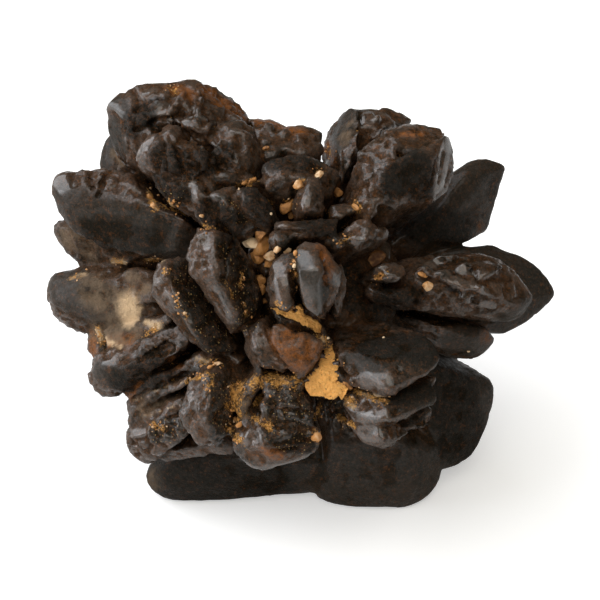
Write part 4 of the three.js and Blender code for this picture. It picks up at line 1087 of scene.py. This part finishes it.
def shade_masks(stone):
    """Keeps how open to the sky each point is, and whether it stands proud or lies low."""
    work = Carving("openness")
    stone_shape = work.geometry
    start = work.vector("ADD", work.place, work.vector("SCALE", work.facing, scale=RAY_LIFT))
    total = None
    for i in range(SKY_RAYS):
        level = 1 - 2 * (i + 0.5) / SKY_RAYS
        ring = math.sqrt(1 - level * level) * 0.98
        turn = i * math.pi * (3 - math.sqrt(5))
        way = (ring * math.cos(turn), ring * math.sin(turn), level * 0.98)
        way = work.vector("NORMALIZE", work.vector("ADD", work.facing, way))
        far = work.sum("DIVIDE", work.reach(stone_shape, start, way, SKY_REACH), SKY_REACH)
        total = far if total is None else work.plus(total, far)
    work.keep("open", work.sum("DIVIDE", total, float(SKY_RAYS)))
    worn = work.blurred(work.place, 5, "FLOAT_VECTOR")
    above = work.vector("SUBTRACT", work.place, worn)
    work.keep("proud", work.vector("DOT_PRODUCT", above, work.facing))
    work.apply(stone)


def drop_crumbs(stone):
    """Deletes the specks that came loose from the stone while it was carved and thinned."""
    pick(stone)
    bpy.ops.object.mode_set(mode="EDIT")
    bpy.ops.mesh.select_mode(type="VERT")
    bpy.ops.mesh.select_all(action="DESELECT")
    bpy.ops.object.mode_set(mode="OBJECT")
    tip = max(stone.data.vertices, key=lambda corner: (corner.co - HEART).length)
    tip.select = True
    bpy.ops.object.mode_set(mode="EDIT")
    bpy.ops.mesh.select_linked()
    bpy.ops.mesh.select_all(action="INVERT")
    bpy.ops.mesh.delete(type="VERT")
    bpy.ops.object.mode_set(mode="OBJECT")


BED_SWELL = 0.5  # how far the stone under the soil swells sideways, mm
BED_SINK = 0.75  # how far it lies under the soil, mm


def fill_clefts(stone):
    """Closes the hollows under the soil, so that stone shows wherever the soil is worn through."""
    beds = []
    for node in SOIL_NODES:
        bed = copy_of_node(node, "bed")
        work = Carving("bed")
        out = work.outward()
        work.push(BED_SWELL)
        work.shift(Offset=work.vector("SCALE", out, scale=-BED_SINK))
        work.apply(bed)
        beds.append(bed)
    join(stone, beds)


KNOB_LEAN = 0.6  # how far the knobs lean from the surface towards the open face
KNOB_SINK = 0.6  # how deep a knob's middle lies, as a share of its height


def add_knobs(stone, face):
    """Rounded knobs, set half into the surface."""
    made = []
    for u, v, length, breadth, height, angle in KNOBS:
        place, normal = face.hit(u, v)
        turn = math.radians(angle)
        way = turned(Vector((math.cos(turn), math.sin(turn), 0)))
        normal = (normal + OUTWARD * KNOB_LEAN).normalized()
        way = (way - normal * way.dot(normal)).normalized()
        side = normal.cross(way)
        bpy.ops.object.select_all(action="DESELECT")
        bpy.ops.mesh.primitive_ico_sphere_add(subdivisions=3, radius=1)
        knob = bpy.context.object
        rise = normal * height * (1 + KNOB_SINK)
        shape = Matrix((way * length / 2, side * breadth / 2, rise)).transposed()
        middle = place - normal * height * KNOB_SINK
        knob.matrix_world = Matrix.Translation(middle) @ shape.to_4x4()
        bpy.ops.object.transform_apply(location=True, rotation=True, scale=True)
        made.append(knob)
    join(stone, made)


CRACK_DEPTH = 0.42  # mm


class STONE_OT_cluster(Operator):
    """Carves the cluster of iron-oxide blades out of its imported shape"""

    bl_idname = "prophecy_stone.cluster"
    bl_label = "Blade cluster"

    def execute(self, context):
        settings = context.scene.iron_stone
        plain = copy_of_node("blade_cluster", "plain")
        stone = copy_of_node("blade_cluster", "iron_stone")
        face = Face(plain)
        add_knobs(stone, face)
        fill_clefts(stone)
        fewer = 1
        remesh(stone, settings.grain * (1.0))
        measure(stone, plain)
        rub(stone, max(1, settings.wear // fewer))
        rub(stone, settings.far_wear // fewer, "rear")
        helpers = [plain]
        for name, (strokes, ragged, fine) in MASKS.items():
            marks = face.marks(name, strokes, COARSE_STEP)
            paint(stone, name, marks, ragged, fine)
            helpers.append(marks)
        carve(stone, settings)
        cracks = face.marks("cracks", CRACKS)
        helpers.append(cracks)
        cut(stone, cracks, CRACK_DEPTH)
        # The crack mask darkens the colour along the cracks: painted shade in the creases.
        paint(stone, "crack", cracks, 0.15, 1.6)
        rub(stone, 1)
        rest_on_floor(stone)
        thin(stone, settings.faces)
        drop_crumbs(stone)
        shade_masks(stone)
        for helper in helpers:
            remove(helper)
        material = IronShader(settings, context.scene.soil).material
        finish_piece(stone, material, "iron_stone", "blade_cluster")
        return {"FINISHED"}


def colour(value):
    """A colour of three values, with the fourth that sockets want."""
    return (*value, 1.0)


class Shader(Nodes):
    """The node tree of one material, with its Principled shader."""

    def __init__(self, name):
        material = bpy.data.materials.new(name)
        material.use_nodes = True
        super().__init__(material.node_tree)
        self.material = material
        self.skin = material.node_tree.nodes["Principled BSDF"]
        whole = self.add("ShaderNodeTexCoord").outputs["Object"]
        self.place = self.add("ShaderNodeMapping", {0: whole, 3: (MM, MM, MM)}).outputs[0]

    def mask(self, name):
        return self.add("ShaderNodeAttribute", attribute_name=name).outputs["Fac"]

    def mix(self, share, first, second, mode="MIX"):
        inputs = {0: share, 6: first, 7: second}
        node = self.add("ShaderNodeMix", inputs, data_type="RGBA", blend_type=mode)
        return node.outputs[2]

    def grey(self, value):
        return self.add("ShaderNodeCombineColor", {0: value, 1: value, 2: value}).outputs[0]


IRON_RELIEF = 0.00022  # height of the finest relief, m
SPECK_TINT = (0.42, 0.27, 0.11, 1)


class IronShader(Shader):
    """Worn iron oxide: dark broad faces, brown knobby sides, rust and soil, with painted grey
    highlights on the end facets and ridges and painted shade in the clefts.
    """

    def __init__(self, settings, soil):
        super().__init__("iron_stone")
        self.settings, self.soil = settings, soil
        self.narrow, self.end = self.mask("narrow"), self.mask("end")
        self.sky, self.proud = self.mask("open"), self.mask("proud")
        self.dust = self.between(self.mask("dusty"), 0.0, 0.7)
        self.speckled = self.between(self.mask("speckled"), 0.0, 0.5)
        self.shade = self.between(self.mask("shade"), 0.0, 0.4)
        self.polished = self.between(self.mask("polished"), 0.0, 0.3)
        self.even = self.between(self.mask("even"), 0.0, 0.5)
        self.mottled = self.noise(self.place, 3.4, 5.0, 0.75)
        self.film = self.between(self.noise(self.place, 0.9, 5.0, 0.6), 0.32, 0.62)

        # The colour carries painted light: grey painted highlights on the ridges and end facets,
        # and painted shade in the clefts, cracks and shaded faces.
        tone = self.painted_shade(self.dusted(self.worn(self.rusted(self.oxide()))))
        self.put(self.skin.inputs["Base Color"], self.soiled(tone))
        self.put(self.skin.inputs["Roughness"], self.roughness())
        self.put(self.skin.inputs["Coat Weight"], self.coat())
        self.put(self.skin.inputs["Normal"], self.relief())
        self.skin.inputs["Coat Roughness"].default_value = 0.14
        self.skin.inputs["Coat IOR"].default_value = 1.6
        self.skin.inputs["IOR"].default_value = 1.2
        self.skin.inputs["Specular IOR Level"].default_value = 0.25

    def oxide(self):
        """Dark broad faces and brown sides; the faces marked as shaded lose their brown, as painted
        shade.
        """
        cloud = self.noise(self.place, 0.6, 5.0, 0.7)
        side = self.most(self.times(self.narrow, 0.8), self.between(cloud, 0.4, 0.62))
        plain = self.times(self.most(self.speckled, self.shade), 0.85)
        side = self.times(side, self.inverse(plain))
        mottle = self.between(self.mottled, 0.38, 0.68, -0.15, 0.45)
        side = self.plus(self.times(side, 0.7), mottle)
        side = self.times(side, self.inverse(self.times(self.even, 0.75)))
        dark, brown = colour(self.settings.dark), colour(self.settings.brown)
        return self.mix(self.sum("MINIMUM", side, 1.0), dark, brown)

    def rusted(self, tone):
        """Rust in spots, in freckles and in whole patches."""
        red = colour(self.settings.rust)
        spots = self.between(self.noise(self.place, 2.1, 6.0, 0.8), 0.54, 0.66)
        tone = self.mix(self.times(spots, 0.3), tone, red)
        freckles = self.between(self.noise(self.place, 5.2, 3.0, 0.7), 0.54, 0.66)
        freckles = self.times(freckles, self.between(self.even, 0.0, 1.0, 0.34, 0.15))
        tone = self.mix(freckles, tone, red)
        rust = self.between(self.noise(self.place, 2.2, 8.0, 0.85), 0.38, 0.6)
        rust = self.times(self.between(self.mask("rusty"), 0.0, 0.6), rust)
        self.rust = self.times(rust, self.inverse(self.times(self.even, 0.5)))
        return self.mix(self.times(self.rust, 0.9), tone, red)

    def worn(self, tone):
        """Painted highlight: grey mixed into the colour on the proud, open ridges and on the
        polished end facets, where the light glints off them.
        """
        ridges = self.times(
            self.between(self.proud, 0.006, 0.035), self.between(self.sky, 0.35, 0.75)
        )
        painted_highlight = self.most(self.times(ridges, 0.12), self.times(self.polished, 0.25))
        self.painted_highlight = self.times(painted_highlight, self.between(self.mottled, 0.35, 0.6, 0.45, 1.0))
        return self.mix(self.painted_highlight, tone, colour(self.settings.grey))

    def dusted(self, tone):
        """A film of pale dust and, in places, a crust of pale sand."""
        tone = self.mix(self.times(self.dust, self.film, 0.6), tone, colour(self.settings.dust))
        sandy = self.mask("sandy")
        patchy = self.less(self.noise(self.place, 2.6, 6.0, 0.75), 0.5)
        caked = self.between(self.plus(sandy, self.times(patchy, 0.8)), 0.0, 0.95)
        self.caked = self.times(caked, self.between(sandy, 0.0, 0.6))
        return self.mix(self.times(self.caked, 0.75), tone, colour(self.settings.sand))

    def painted_shade(self, tone):
        """Painted shade: darker in the clefts and cracks, by how little sky each point sees, and
        darker still on the faces marked as shaded.
        """
        crack = self.between(self.mask("crack"), 0.0, 0.5)
        low = self.between(self.sky, 0.1, 0.6, 0.1, 1.0)
        low = self.times(low, self.inverse(self.times(crack, 0.75)))
        low = self.times(low, self.inverse(self.times(self.shade, 0.3)))
        return self.mix(1.0, tone, self.grey(low), "MULTIPLY")

    def soiled(self, tone):
        """Soil, thick in the marked smears, and as specks in clefts and on the broad faces."""
        self.crumbs = self.noise(self.place, 5.5, 4.0, 0.75)
        self.dots = self.between(self.noise(self.place, 6.5, 2.0, 0.5), 0.63, 0.69)
        patches = self.noise(self.place, 1.3, 4.0, 0.65)
        mottle = self.plus(self.times(self.crumbs, 0.65), self.times(patches, 0.5))
        smear = self.mask("smear")
        thick = self.between(self.plus(mottle, self.times(smear, 0.24)), 0.67, 0.81, 0.0, 0.9)
        self.smeared = self.times(thick, self.between(smear, 0.0, 0.05))
        deep = self.times(self.between(self.sky, 0.42, 0.2), self.between(mottle, 0.62, 0.7), 0.5)
        self.covered = self.most(deep, self.smeared)
        shadow = colour([0.45 * x for x in self.soil.colour])
        tint = self.mix(self.between(self.crumbs, 0.4, 0.8), shadow, colour(self.soil.colour))
        tint = self.mix(self.times(self.dots, 0.6), tint, colour(self.settings.sand))
        tone = self.mix(self.covered, tone, tint)

        speck = self.cells(self.place, 5.6)
        chances = self.add("ShaderNodeSeparateColor", {0: speck.outputs["Color"]}).outputs
        crowd = self.times(self.speckled, self.between(patches, 0.3, 0.65, 0.1, 0.5))
        chosen = self.sum("LESS_THAN", chances[0], crowd)
        reach = self.between(chances[1], 0.0, 1.0, 0.12, 0.36, smooth=False)
        flecks = self.between(self.less(speck.outputs["Distance"], reach), 0.04, -0.04)
        flecks = self.times(flecks, chosen)
        return self.mix(self.times(flecks, 0.75), tone, SPECK_TINT)

    def roughness(self):
        """Rougher where it is sheltered, speckled or covered."""
        rough = self.between(self.noise(self.place, 2.2, 4.0), 0.3, 0.7, 0.34, 0.58)
        rough = self.less(rough, self.times(self.painted_highlight, 0.12))
        rough = self.plus(rough, self.times(self.speckled, 0.12))
        rough = self.plus(rough, self.between(self.sky, 0.5, 0.15, 0.0, 0.25))
        dirt = self.most(self.most(self.covered, self.caked), self.times(self.dust, self.film))
        return self.plus(rough, self.times(dirt, 0.4))

    def coat(self):
        """A glossy skin on the worn ridges and the end facets, where nothing dulls it."""
        uneven = self.between(self.noise(self.place, 1.6, 6.0, 0.75), 0.4, 0.62, 0.06, 0.22)
        broken = self.between(self.noise(self.place, 5.0, 4.0, 0.7), 0.38, 0.66, 0.25, 0.85)
        ridges = self.times(self.between(self.proud, -0.02, 0.05), broken)
        ridges = self.times(ridges, self.inverse(self.times(self.even, 0.75)))
        shine = self.times(self.polished, self.between(self.mottled, 0.3, 0.5, 0.85, 1.0))
        shine = self.most(shine, self.most(uneven, ridges))
        shine = self.times(shine, self.between(self.sky, 0.25, 0.6))
        dirt = self.most(self.covered, self.caked)
        for dull in (dirt, self.dust, self.times(self.shade, 0.9), self.times(self.rust, 0.8)):
            shine = self.times(shine, self.inverse(dull))
        return self.sum("MINIMUM", shine, 1.0)

    def relief(self):
        """The finest relief: grain, pits, tiny split planes and crumbs of soil."""
        grains = self.cells(self.place, 6.0).outputs["Distance"]
        pits = self.between(self.noise(self.place, 3.2, 2.0), 0.6, 0.72)
        height = self.noise(self.place, 2.2, 6.0, 0.72)
        for part, much in ((self.mottled, 0.5), (grains, -0.16), (self.dots, 0.1), (pits, -0.25)):
            height = self.plus(height, self.times(part, much))
        warped = self.stray(self.place, 3.0, 0.2)
        chips = self.plus(facets(self, warped, 2.4, 1.5, 0.12), facets(self, warped, 5.0, 2.2, 0.1))
        chips = self.times(chips, self.plus(self.times(self.narrow, 0.5), 0.7))
        smooth = self.most(self.most(self.end, self.polished), self.even)
        calm = self.inverse(self.times(smooth, 0.45))
        height = self.times(self.plus(height, chips), calm)
        height = self.plus(height, self.times(self.smeared, self.crumbs, 0.5))
        inputs = {"Strength": 1.0, "Distance": IRON_RELIEF, "Height": height}
        return self.add("ShaderNodeBump", inputs).outputs[0]


# ---------------------------------------------------------------- the soil

# Where the lodged soil shows. Strokes as above.
SOIL_PATCHES = {
    "soil_wedge": [
        (0.45, (2.0, -4.0), (2.2, -4.5)),
        (0.8, (2.2, -4.9), (2.0, -5.4)),
        (1.15, (1.9, -5.8), (1.8, -6.3)),
        (1.0, (1.2, -6.6), (2.2, -6.8)),
        (0.6, (0.8, -7.0), (2.4, -7.2)),
        (0.55, (2.8, -7.0), (3.2, -7.3), (3.7, -7.7)),
    ],
    "soil_seam": [
        (0.42, (-1.9, -0.8), (-1.6, -1.15), (-0.7, -1.5), (0.3, -1.9), (1.1, -2.25), (1.3, -2.55)),
        (0.35, (-0.05, -0.6), (0.0, -1.4)),
    ],
}

# Sand grains: U, V, length, breadth, turn of the length in degrees from U, paleness, lift in mm.
POCKET_GRAINS = [
    (-3.7, 3.85, 1.3, 0.95, -20, 0.95, 0.45),
    (-3.0, 4.6, 1.3, 1.0, 80, 0.32, 0.0),
    (-2.95, 3.55, 1.3, 1.0, 50, 0.45, 0.15),
    (-3.2, 2.75, 1.1, 0.8, -30, 0.35, 0.1),
    (-2.2, 2.85, 1.1, 0.7, 20, 0.75, 0.25),
    (-1.75, 3.35, 0.7, 0.5, 80, 0.7, 0.3),
    (-2.5, 4.0, 1.0, 0.8, 0, 0.3, -0.1),
    (-2.4, 2.3, 0.8, 0.6, 10, 0.4, 0.0),
    (-1.0, 3.3, 0.6, 0.4, 30, 0.8, 0.1),
]
GRAINS = [
    (-3.05, 1.05, 0.95, 0.85, 70, 0.5, 0.25),
    (-2.95, 0.35, 0.8, 0.7, 80, 0.4, 0.2),
    (-2.8, -0.5, 0.6, 0.5, 0, 0.2, 0.1),
    (-0.42, 3.1, 0.45, 0.3, 70, 0.5, 0.1),
    (-0.47, 2.5, 0.3, 0.22, 20, 0.6, 0.1),
    (-0.5, 2.15, 0.36, 0.3, 60, 0.9, 0.15),
    (-0.38, 1.6, 0.35, 0.2, 80, 0.5, 0.1),
    (-0.33, 0.6, 0.3, 0.18, 100, 0.5, 0.1),
    (-0.2, 8.15, 0.75, 0.65, 20, 0.6, 0.2),
    (1.35, 8.85, 0.75, 0.5, 50, 0.75, 0.2),
    (2.6, 7.7, 1.0, 0.8, -20, 0.3, 0.1),
    (-1.0, 6.6, 1.3, 0.9, 60, 0.4, 0.0),
    (-0.7, 6.0, 0.8, 0.6, 40, 0.5, 0.0),
    (4.05, 6.5, 0.6, 0.4, -50, 0.55, 0.1),
    (5.5, 2.65, 1.7, 1.2, 15, 0.12, 0.2),
    (9.35, 0.65, 0.8, 0.65, 30, 0.65, 0.2),
    (9.0, 1.5, 0.7, 0.35, -20, 0.4, 0.1),
    (-6.1, -5.1, 0.6, 0.45, 0, 0.8, 0.1),
    (-6.7, -5.3, 0.5, 0.35, 20, 0.5, 0.1),
    (1.15, -10.5, 0.8, 0.6, 10, 0.6, 0.1),
    (12.4, -4.15, 0.25, 0.2, 0, 0.8, 0.0),
    (-2.6, 10.8, 0.6, 0.4, 20, 0.3, 0.0),
    (-3.6, 8.5, 0.7, 0.4, 30, 0.35, -0.05),
    (-4.2, 8.3, 0.5, 0.35, 10, 0.3, -0.05),
    (3.4, -6.65, 1.0, 0.5, -25, 0.3, 0.0),
    (6.1, -3.15, 0.22, 0.18, 0, 0.9, 0.05),
    (2.0, -3.2, 0.25, 0.2, 0, 0.9, 0.05),
    (-7.35, 5.85, 0.35, 0.3, 0, 0.7, 0.05),
    (-2.2, 6.0, 0.2, 0.2, 0, 0.9, 0.05),
    (-4.6, -9.6, 0.5, 0.4, 20, 0.5, 0.1),
    (-4.9, -9.2, 0.5, 0.4, 70, 0.4, 0.05),
    (-11.2, 7.2, 0.8, 0.35, -60, 0.5, 0.0),
    (-10.9, 6.6, 0.5, 0.4, -50, 0.6, 0.0),
    (-9.4, 6.5, 0.6, 0.4, 60, 0.4, 0.0),
]


SOIL_RELIEF = 0.00014  # height of the soil's finest relief, m
DARK_SAND, PALE_SAND = (0.2, 0.09, 0.03, 1), (0.95, 0.66, 0.33, 1)
AMBER, OCHRE, CREAM = (0.1, 0.036, 0.01, 1), (0.55, 0.25, 0.075, 1), (0.88, 0.66, 0.42, 1)


def soil_material(soil):
    """Dry ochre soil of fine sand and grains of it, pale to brown."""
    work = Shader("soil")
    place = work.place
    dull = colour([0.78 * x for x in soil.colour])
    share = work.between(work.noise(place, 1.4, 5.0, 0.65), 0.35, 0.65)
    tone = work.mix(share, dull, colour(soil.colour))
    specks = work.between(work.noise(place, 7.5, 2.0), 0.64, 0.72)
    tone = work.mix(work.times(specks, 0.7), tone, DARK_SAND)
    pale = work.between(work.noise(place, 9.0, 2.0), 0.62, 0.7)
    tone = work.mix(work.times(pale, 0.4), tone, PALE_SAND)

    # single grains, from amber to cream by how pale each is
    paleness = work.mask("paleness")
    cloudy = work.plus(paleness, work.less(work.noise(place, 2.6, 4.0, 0.6), 0.5))
    quartz = work.mix(work.between(cloudy, 0.0, 0.5), AMBER, OCHRE)
    quartz = work.mix(work.between(cloudy, 0.5, 1.0), quartz, CREAM)
    single = work.between(paleness, 0.0, 0.05)
    tone = work.mix(single, tone, quartz)
    work.put(work.skin.inputs["Base Color"], tone)
    work.put(work.skin.inputs["Roughness"], work.between(single, 0.0, 1.0, 0.9, 0.5))

    grit = work.plus(work.noise(place, 9.0, 4.0, 0.7), work.times(specks, -0.5))
    grit = work.times(grit, work.between(single, 0.0, 1.0, 1.0, 0.3))
    inputs = {"Strength": 1.0, "Distance": SOIL_RELIEF, "Height": grit}
    work.put(work.skin.inputs["Normal"], work.add("ShaderNodeBump", inputs).outputs[0])
    work.skin.inputs["IOR"].default_value = 1.4
    return work.material


FLATS = 9  # worn on each grain
BIG_GRAIN = 0.5  # a longer grain than this is made of finer triangles, mm


def grain(chance, level, paleness):
    """One angular grain a millimetre across: a ball with flats worn on it."""
    bpy.ops.object.select_all(action="DESELECT")
    bpy.ops.mesh.primitive_ico_sphere_add(subdivisions=level, radius=0.5)
    piece = bpy.context.object
    for _ in range(FLATS):
        way = Vector([chance.gauss(0, 1) for _ in range(3)]).normalized()
        reach = chance.uniform(0.3, 0.45)
        for vertex in piece.data.vertices:
            over = vertex.co.dot(way) - reach
            if over > 0:
                vertex.co -= way * over
    shades = piece.data.attributes.new("paleness", "FLOAT", "POINT")
    shades.data.foreach_set("value", [paleness] * len(piece.data.vertices))
    return piece


def set_grains(face, listed, chance):
    """Lays the listed grains on the surface that shows at their places."""
    made = []
    for u, v, length, breadth, angle, paleness, lift in listed:
        place, _ = face.hit(u, v)
        if not place:
            continue
        turn = math.radians(angle)
        way = Vector((math.cos(turn), math.sin(turn), chance.uniform(-0.3, 0.3)))
        way = turned(way).normalized()
        side = OUTWARD.cross(way).normalized()
        up = way.cross(side)
        piece = grain(chance, 4 if length > BIG_GRAIN else 2, paleness)
        shape = Matrix((way * length * 1.1, side * breadth * 1.1, up * breadth)).transposed()
        piece.matrix_world = Matrix.Translation(place + OUTWARD * lift) @ shape.to_4x4()
        bpy.ops.object.transform_apply(location=True, rotation=True, scale=True)
        made.append(piece)
    return made


def scatter_grains(face, count, chance):
    """Small grains strewn along the smears of soil."""
    listed = []
    weights = [0.2 + len(stroke) for stroke in SOIL_SMEARS]
    for breadth, *corners in chance.choices(SOIL_SMEARS, weights, k=count):
        i = chance.randrange(max(1, len(corners) - 1))
        start, stop = Vector(corners[i]), Vector(corners[min(i + 1, len(corners) - 1)])
        spread = Vector((chance.gauss(0, 0.45), chance.gauss(0, 0.45))) * breadth
        u, v = start.lerp(stop, chance.random()) + spread
        length = 0.09 + 0.16 * chance.random() ** 2
        angle = chance.uniform(0, 180)
        paleness = chance.uniform(0.2, 0.8)
        listed.append((u, v, length, length * 0.8, angle, paleness, 0.0))
    return set_grains(face, listed, chance)


def stone_face():
    return Face(bpy.data.objects["iron_stone"], MM)


SOIL_CELL = 0.06  # smallest cell that the soil is crumbled with, mm
SOIL_FACES = 40000  # triangles of each lump of soil
SOIL_SINK = 0.45  # how far the lumps settle into their clefts, mm
WORN_AWAY = 1.2  # how far the soil lies back where the stone shows, mm
CHANCE_SEED = 5


def swell(lump, reach):
    """Lets a lump of soil grow into the stone that it lies in."""
    work = Carving("swell")
    inward = work.vector("SCALE", work.outward(), scale=-SOIL_SINK)
    work.push(reach * 1.4)
    work.shift(Offset=inward)
    work.apply(lump)
    remesh(lump, SOIL_CELL)


def crumble(lump, strokes):
    """Roughens a lump of soil and wears it back everywhere but along the strokes."""
    marks = Face(lump).marks("patch", strokes)
    work = Carving("crumble")
    near = work.near(marks, work.stray(work.place, 2.6, 0.5, 7.0))
    depth = work.between(near, 0.0, 0.22, -WORN_AWAY, 0.0)
    sunk = work.vector("SCALE", work.outward(), scale=depth)
    grains = work.plus(
        work.cells(work.place, 3.2).outputs["Distance"],
        work.times(work.cells(work.place, 8.0).outputs["Distance"], 0.6),
    )
    slow = work.less(work.noise(work.place, 0.9, 5.0, 0.7), 0.5)
    work.push(work.plus(work.times(slow, 0.4), work.times(grains, -0.12)))
    work.shift(Offset=sunk)
    work.apply(lump)
    remove(marks)
    thin(lump, SOIL_FACES)


class STONE_OT_soil(Operator):
    """Fills the clefts with lumps of dry soil"""

    bl_idname = "prophecy_stone.soil"
    bl_label = "Soil"

    def execute(self, context):
        settings = context.scene.soil
        material = soil_material(settings)
        for node, strokes in SOIL_PATCHES.items():
            lump = copy_of_node(node, node.replace("soil_", "lodged_"))
            swell(lump, settings.swell)
            crumble(lump, strokes)
            finish_piece(lump, material, "soil", node)

        chance = random.Random(CHANCE_SEED)
        face = stone_face()
        pocket, *others = set_grains(face, POCKET_GRAINS, chance)
        join(pocket, others)
        pocket.name = pocket.data.name = "lodged_pocket"
        finish_piece(pocket, material, "soil", "soil_pocket")

        grains = set_grains(face, GRAINS, chance)
        sand, *others = grains + scatter_grains(face, settings.strewn, chance)
        join(sand, others)
        sand.name = sand.data.name = "sand_grains"
        finish_piece(sand, material, "soil")
        return {"FINISHED"}


# ---------------------------------------------------------------- the stage


DAYLIGHT = (0.92, 0.95, 1.0)
LAMPLIGHT = (1.0, 0.97, 0.9)

# Each lamp's place from the heart and its side, in m, then the property that holds its power, and
# its tint.
LAMPS = {
    "window": ((-0.76, 0.18, 0.66), 1.6, "key_power", DAYLIGHT),
    "front": ((0.0, -0.52, 0.84), 1.0, "fill_power", LAMPLIGHT),
    "low": ((-0.932, -0.36, 0.16), 0.56, "low_power", DAYLIGHT),
}
FLOOR_TINT = (0.9, 0.9, 0.9, 1)
SENSOR = 36  # mm
CLIP = (0.01, 10)  # nearest and furthest that the camera sees, m


class STONE_OT_stage(Operator):
    """Sets the pale floor, the soft lights and the camera"""

    bl_idname = "prophecy_stone.stage"
    bl_label = "Stage"

    def execute(self, context):
        stage = context.scene.stone_stage
        self.floor(context, stage)
        for name, (place, side, power, tint) in LAMPS.items():
            self.lamp(context, name, place, side, getattr(stage, power), tint)
        self.room(context, stage)
        self.camera(context, stage)
        context.scene.view_settings.view_transform = "Standard"
        return {"FINISHED"}

    def floor(self, context, stage):
        bpy.ops.object.select_all(action="DESELECT")
        bpy.ops.mesh.primitive_plane_add(size=stage.floor_side, location=(0, 0, 0))
        floor = context.object
        floor.name = "floor"
        work = Shader("floor")
        work.skin.inputs["Base Color"].default_value = FLOOR_TINT
        work.skin.inputs["Roughness"].default_value = 0.7
        seen = work.add("ShaderNodeLightPath").outputs["Is Camera Ray"]
        glow = work.grey(work.times(seen, stage.floor_glow))
        work.put(work.skin.inputs["Emission Color"], glow)
        work.skin.inputs["Emission Strength"].default_value = 1.0
        floor.data.materials.append(work.material)

    def lamp(self, context, name, place, side, power, tint):
        """A square lamp that points at the heart."""
        bpy.ops.object.light_add(type="AREA")
        lamp = context.object
        lamp.name = name
        lamp.location = HEART / MM + Vector(place)
        lamp.rotation_euler = (-Vector(place)).to_track_quat("-Z", "Y").to_euler()
        lamp.data.size = side
        lamp.data.energy = power
        lamp.data.color = tint

    def room(self, context, stage):
        """Dim even light from the room, behind a pale backdrop."""
        world = bpy.data.worlds.new("room")
        world.use_nodes = True
        context.scene.world = world
        work = Nodes(world.node_tree)
        sky = world.node_tree.nodes["Background"]
        seen = work.add("ShaderNodeLightPath").outputs["Is Camera Ray"]
        inputs = {0: seen, 6: colour(stage.sky_tint), 7: (1, 1, 1, 1)}
        tint = work.add("ShaderNodeMix", inputs, data_type="RGBA").outputs[2]
        work.put(sky.inputs["Color"], tint)
        work.put(sky.inputs["Strength"], work.between(seen, 0.0, 1.0, stage.sky, stage.backdrop))

    def camera(self, context, stage):
        eye = spot(*AIM, EYE_OUT) / MM
        bpy.ops.object.camera_add(location=eye, rotation=(math.radians(90) - LEAN, 0, 0))
        camera = context.object
        camera.data.lens = stage.lens
        camera.data.sensor_width = SENSOR
        camera.data.clip_start, camera.data.clip_end = CLIP
        context.scene.camera = camera


# ---------------------------------------------------------------- the add-on

OPERATORS = (STONE_OT_cluster, STONE_OT_soil, STONE_OT_stage)


class STONE_PT_panel(Panel):
    """Lists the stone's pieces and their settings"""

    bl_idname = "STONE_PT_panel"
    bl_label = "Prophecy stone"
    bl_space_type = "VIEW_3D"
    bl_region_type = "UI"
    bl_category = "Prophecy stone"

    def draw(self, context):
        for group in (context.scene.iron_stone, context.scene.soil, context.scene.stone_stage):
            box = self.layout.box()
            for name in group.__annotations__:
                box.prop(group, name)
        for operator in OPERATORS:
            self.layout.operator(operator.bl_idname)


CLASSES = (StoneSettings, SoilSettings, StageSettings, *OPERATORS, STONE_PT_panel)


def register():
    for cls in CLASSES:
        bpy.utils.register_class(cls)
    bpy.types.Scene.iron_stone = PointerProperty(type=StoneSettings)
    bpy.types.Scene.soil = PointerProperty(type=SoilSettings)
    bpy.types.Scene.stone_stage = PointerProperty(type=StageSettings)


def unregister():
    del bpy.types.Scene.iron_stone, bpy.types.Scene.soil, bpy.types.Scene.stone_stage
    for cls in reversed(CLASSES):
        bpy.utils.unregister_class(cls)


def main():
    register()
    bpy.ops.prophecy_stone.cluster()
    bpy.ops.prophecy_stone.soil()
    bpy.ops.prophecy_stone.stage()


if __name__ == "__main__":
    main()
